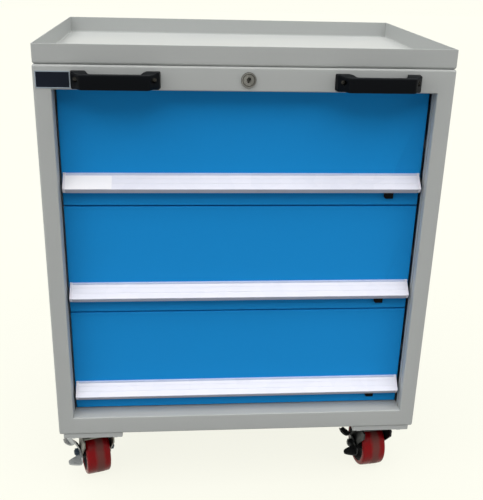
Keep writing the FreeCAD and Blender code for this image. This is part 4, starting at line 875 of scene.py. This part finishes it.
def treadProfile(settings):
    radius, half, shoulder = settings["radius"], settings["half"], settings["shoulder"]
    lip, edge, wide = settings["seat"] + settings["lipInset"], settings["lipEdge"], half - settings["bulge"]
    side = [(half, settings["seat"]), (half, lip), (half - edge, lip + edge), (wide, radius - shoulder)]
    for step in range(1, settings["shoulderSteps"] + 1):
        angle = math.pi / 2 * step / settings["shoulderSteps"]
        side.append((wide - shoulder * (1 - math.cos(angle)),
                     radius - settings["crown"] - shoulder * (1 - math.sin(angle))))
    flatShare, flatFall = settings["flat"]
    seam = settings["seamHalf"]
    side += [(half * flatShare, radius - flatFall), (seam, radius - settings["seamHeight"]),
             (seam * settings["seamTop"], radius)]
    return mirrored(side)


def coreProfile(settings):
    half, hub, web, outer = settings["hubHalf"], settings["hub"], settings["web"], settings["outer"]
    rimHalf, rimFoot = settings["rimHalf"], outer - settings["rimDepth"]
    (near, far), (land, rounding) = settings["hubEdge"], settings["hubLand"]
    run, rise, climb = settings["webRoot"]
    rimRun, rimDrop = settings["rimRoot"]
    lean, lower, upper = settings["rimEdge"]
    return mirrored([(half, settings["bore"]), (half, hub - land), (half - near, hub - rounding),
                     (half - far, hub), (web + run, hub + rise), (web, hub + climb), (web, rimFoot - rimDrop),
                     (web + rimRun, rimFoot), (rimHalf - lean, outer - lower), (rimHalf, outer - upper),
                     (rimHalf, outer)])


def wheelPlace(row, side):
    joint = jointOf[f"{row}_wheel_{side}_spin"]
    axis = Vector(joint["axis"])
    return Matrix.Translation(joint["pos_m"]) @ Matrix.Rotation(math.atan2(axis.y, axis.x), 4, "Z")


def makeTread(row, side, settings):
    node = f"{row}_wheel_tread_{side}"
    bm = bmesh.new()
    turnProfile(bm, treadProfile(settings), settings["steps"])
    across = bm.loops.layers.uv.new("across")
    for face in bm.faces:
        for corner in face.loops:
            spot = corner.vert.co
            around = math.atan2(spot.z, spot.y) / (2 * math.pi)
            corner[across].uv = (around, 0.5 + spot.x / (2 * settings["half"] * mm))
    bmesh.ops.transform(bm, matrix=wheelPlace(row, side), verts=bm.verts)
    finishPiece(bm, node + "_moulded", node, redTread, 40)


def makeCore(row, side, settings):
    node = f"{row}_wheel_core_{side}"
    bm = bmesh.new()
    turnProfile(bm, coreProfile(settings), settings["steps"])
    bmesh.ops.transform(bm, matrix=wheelPlace(row, side), verts=bm.verts)
    finishPiece(bm, node + "_cast", node, wheelBlack, 40)


axleEdge, axleSteps = 0.7, 3


def makeAxle(side, material):
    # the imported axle, with the edges of its nut and bolt rounded
    node = f"front_axle_{side}"
    piece = finishPiece(mergedCopy(node), node + "_nuts", node, material)
    addBevel(piece, axleEdge, axleSteps)


# Brake levers, in mm from the wheel's axis: where the tabs and the flared plate start, and how each is bent
pedalSettings = {
    "tabFrom": 35.0, "tabReach": 25.0, "tabSteps": 8, "tabDepth": (-9.0, 17.0), "tabLevel": 0.98,
    "rise": 9.0, "dip": 4.0, "stretch": 5.0, "flareFrom": 8.0, "flareTo": 27.0, "flareSteps": 6,
    "flare": 13.0, "twist": 9.0, "flareCurve": 1.4, "leafMiddle": -23.0, "leafTilt": 0.5,
    "leafTaper": 0.7, "taperCurve": 1.5, "leafDrop": 1.0, "flat": 0.5, "edge": 0.5}


def cutAcross(bm, axis, place):
    # adds a ring of vertices where a plane meets the shape, so that it can be bent there
    spot, normal = Vector((0, 0, 0)), Vector((0, 0, 0))
    spot[axis], normal[axis] = place * mm, 1.0
    bmesh.ops.bisect_plane(bm, geom=bm.verts[:] + bm.edges[:] + bm.faces[:], dist=0.0001 * mm,
                           plane_co=spot, plane_no=normal)


def bendSpot(spot, settings):
    # moves one vertex: the plate above the axle flares to a wavy upper tab, and the front tab below is a leaf
    out = min(max((-spot.x / mm - settings["tabFrom"]) / settings["tabReach"], 0.0), 1.0)
    height = (spot.z / mm - settings["flareFrom"]) / (settings["flareTo"] - settings["flareFrom"])
    if height > 0:
        near, far = settings["tabDepth"]
        deep = (spot.y / mm - near) / (far - near)
        swell = settings["flare"] + settings["twist"] * (deep - 0.5)
        flare = swell * min(height, 1.0) ** settings["flareCurve"]
        spot.x -= (flare * (1.0 - out) + settings["stretch"] * out ** 2) * mm
        if height > settings["tabLevel"]:
            spot.z += (settings["rise"] * out ** 2 - settings["dip"] * math.sin(math.pi * out)) * mm
    elif out > 0:
        middle = settings["leafMiddle"] * mm
        across = (spot.y - middle) * (1.0 - settings["leafTaper"] * out ** settings["taperCurve"])
        spot.y = middle + across
        spot.z += across * settings["leafTilt"] - settings["leafDrop"] * out * mm


def makePedal(side, material, settings):
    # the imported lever, cut finer and bent
    node = f"brake_pedal_{side}"
    place = wheelPlace("front", side)
    bm = mergedCopy(node)
    bmesh.ops.triangulate(bm, faces=bm.faces)
    bmesh.ops.transform(bm, matrix=place.inverted(), verts=bm.verts)
    for step in range(settings["tabSteps"]):
        cutAcross(bm, 0, -(settings["tabFrom"] + settings["tabReach"] * step / settings["tabSteps"]))
    low, tall = settings["flareFrom"], settings["flareTo"] - settings["flareFrom"]
    for step in range(settings["flareSteps"] + 1):
        cutAcross(bm, 2, low + tall * step / settings["flareSteps"])
    for vertex in bm.verts:
        bendSpot(vertex.co, settings)
    bmesh.ops.transform(bm, matrix=place, verts=bm.verts)
    bmesh.ops.recalc_face_normals(bm, faces=bm.faces)
    flat = math.radians(settings["flat"])
    bmesh.ops.dissolve_limit(bm, angle_limit=flat, verts=bm.verts, edges=bm.edges)
    piece = finishPiece(bm, node + "_bent", node, material, 40)
    addBevel(piece, settings["edge"], 2, 50)


casterFinishes = {"left": (zincMetal, nutMetal), "right": (darkMetal, darkMetal)}
for side, (leverFinish, nutFinish) in casterFinishes.items():
    for row in ("front", "rear"):
        makeTread(row, side, treadSettings)
        makeCore(row, side, coreSettings)
    makeAxle(side, nutFinish)
    makePedal(side, leverFinish, pedalSettings)
print("stage: casters")


# Stage, camera and light
backdropTone = rgb(255, 255, 243)


def mixLight(tree, shown, lighting):
    # what the camera and mirrors see, against what lights the object
    path = tree.nodes.new("ShaderNodeLightPath")
    seen = mathNode(tree, "MAXIMUM", path.outputs["Is Camera Ray"], path.outputs["Is Glossy Ray"])
    seen = mathNode(tree, "MAXIMUM", seen, path.outputs["Is Transmission Ray"])
    return addNode(tree, "ShaderNodeMixShader", None, i0=seen, i1=lighting, i2=shown).outputs[0]


stageSettings = {"floorSize": 24.0, "ambient": 0.12, "ambientTone": (0.90, 0.95, 1.0, 1.0), "glow": 0.88,
                 "shade": 0.085, "floorBounce": (0.24, 0.24, 0.235, 1.0)}


def makeWorld():
    world = bpy.data.worlds.new("studio")
    scene.world = world
    world.use_nodes = True
    tree = world.node_tree
    tree.nodes.clear()
    shown = addNode(tree, "ShaderNodeBackground", None, Color=backdropTone, Strength=1.0).outputs[0]
    lighting = addNode(tree, "ShaderNodeBackground", None, Color=stageSettings["ambientTone"],
                       Strength=stageSettings["ambient"]).outputs[0]
    output = tree.nodes.new("ShaderNodeOutputWorld")
    tree.links.new(mixLight(tree, shown, lighting), output.inputs["Surface"])


def makeFloor():
    # the floor shows the backdrop's tone, with the object's shadow laid over it
    bm = bmesh.new()
    bmesh.ops.create_grid(bm, x_segments=1, y_segments=1, size=stageSettings["floorSize"] / 2)
    mesh = toMesh(bm, "floor")
    floor = bpy.data.objects.new("floor", mesh)
    scene.collection.objects.link(floor)
    material = bpy.data.materials.new("floorMaterial")
    material.use_nodes = True
    tree = material.node_tree
    tree.nodes.clear()
    glow = addNode(tree, "ShaderNodeEmission", None, Color=backdropTone,
                   Strength=stageSettings["glow"]).outputs[0]
    tone = tuple(stageSettings["shade"] * v for v in backdropTone[:3]) + (1.0,)
    shaded = addNode(tree, "ShaderNodeBsdfDiffuse", None, Color=tone).outputs[0]
    shown = addNode(tree, "ShaderNodeAddShader", None, i0=glow, i1=shaded).outputs[0]
    lighting = addNode(tree, "ShaderNodeBsdfDiffuse", None, Color=stageSettings["floorBounce"]).outputs[0]
    output = tree.nodes.new("ShaderNodeOutputMaterial")
    tree.links.new(mixLight(tree, shown, lighting), output.inputs["Surface"])
    mesh.materials.append(material)


# Broad sun lamps light the floor evenly: one steep, and a low one at each side.
lampReach = 4.0
lampSettings = {
    "overhead": {"from": (-0.08, -0.20, 0.97), "spread": 90.0, "strength": 4.2, "tone": (1.0, 0.99, 0.98)},
    "left": {"from": (-0.90, -0.38, 0.22), "spread": 50.0, "strength": 0.75, "tone": (1.0, 0.98, 0.94)},
    "right": {"from": (0.90, -0.38, 0.22), "spread": 50.0, "strength": 0.75, "tone": (1.0, 0.98, 0.94)},
}


def lookFrom(place, target, roll=0.0):
    forward = (Vector(target) - Vector(place)).normalized()
    turn = forward.to_track_quat("-Z", "Y").to_matrix().to_4x4()
    return Matrix.Translation(place) @ turn @ Matrix.Rotation(math.radians(roll), 4, "Z")


def makeLamps():
    for name, settings in lampSettings.items():
        light = bpy.data.lights.new(name, "SUN")
        light.angle = math.radians(settings["spread"])
        light.energy = settings["strength"]
        light.color = settings["tone"]
        lamp = bpy.data.objects.new(name, light)
        lamp.matrix_world = lookFrom(lampReach * Vector(settings["from"]), (0.0, 0.0, 0.0))
        lamp.visible_glossy = False
        scene.collection.objects.link(lamp)


cameraSettings = {"at": (-0.1173, -1.5055, 1.0555), "aim": (-0.0012, -0.223, 0.5480), "roll": 1.56,
                  "lens": 54.47, "shift": (-0.0043, -0.0115)}


def makeCamera():
    data = bpy.data.cameras.new("camera")
    data.sensor_fit = "AUTO"
    data.sensor_width = 36.0
    data.lens = cameraSettings["lens"]
    data.shift_x, data.shift_y = cameraSettings["shift"]
    camera = bpy.data.objects.new("camera", data)
    camera.matrix_world = lookFrom(cameraSettings["at"], cameraSettings["aim"], cameraSettings["roll"])
    scene.collection.objects.link(camera)
    scene.camera = camera


makeWorld()
makeFloor()
makeLamps()
makeCamera()
scene.view_settings.view_transform = "Standard"
print("stage: camera and light")
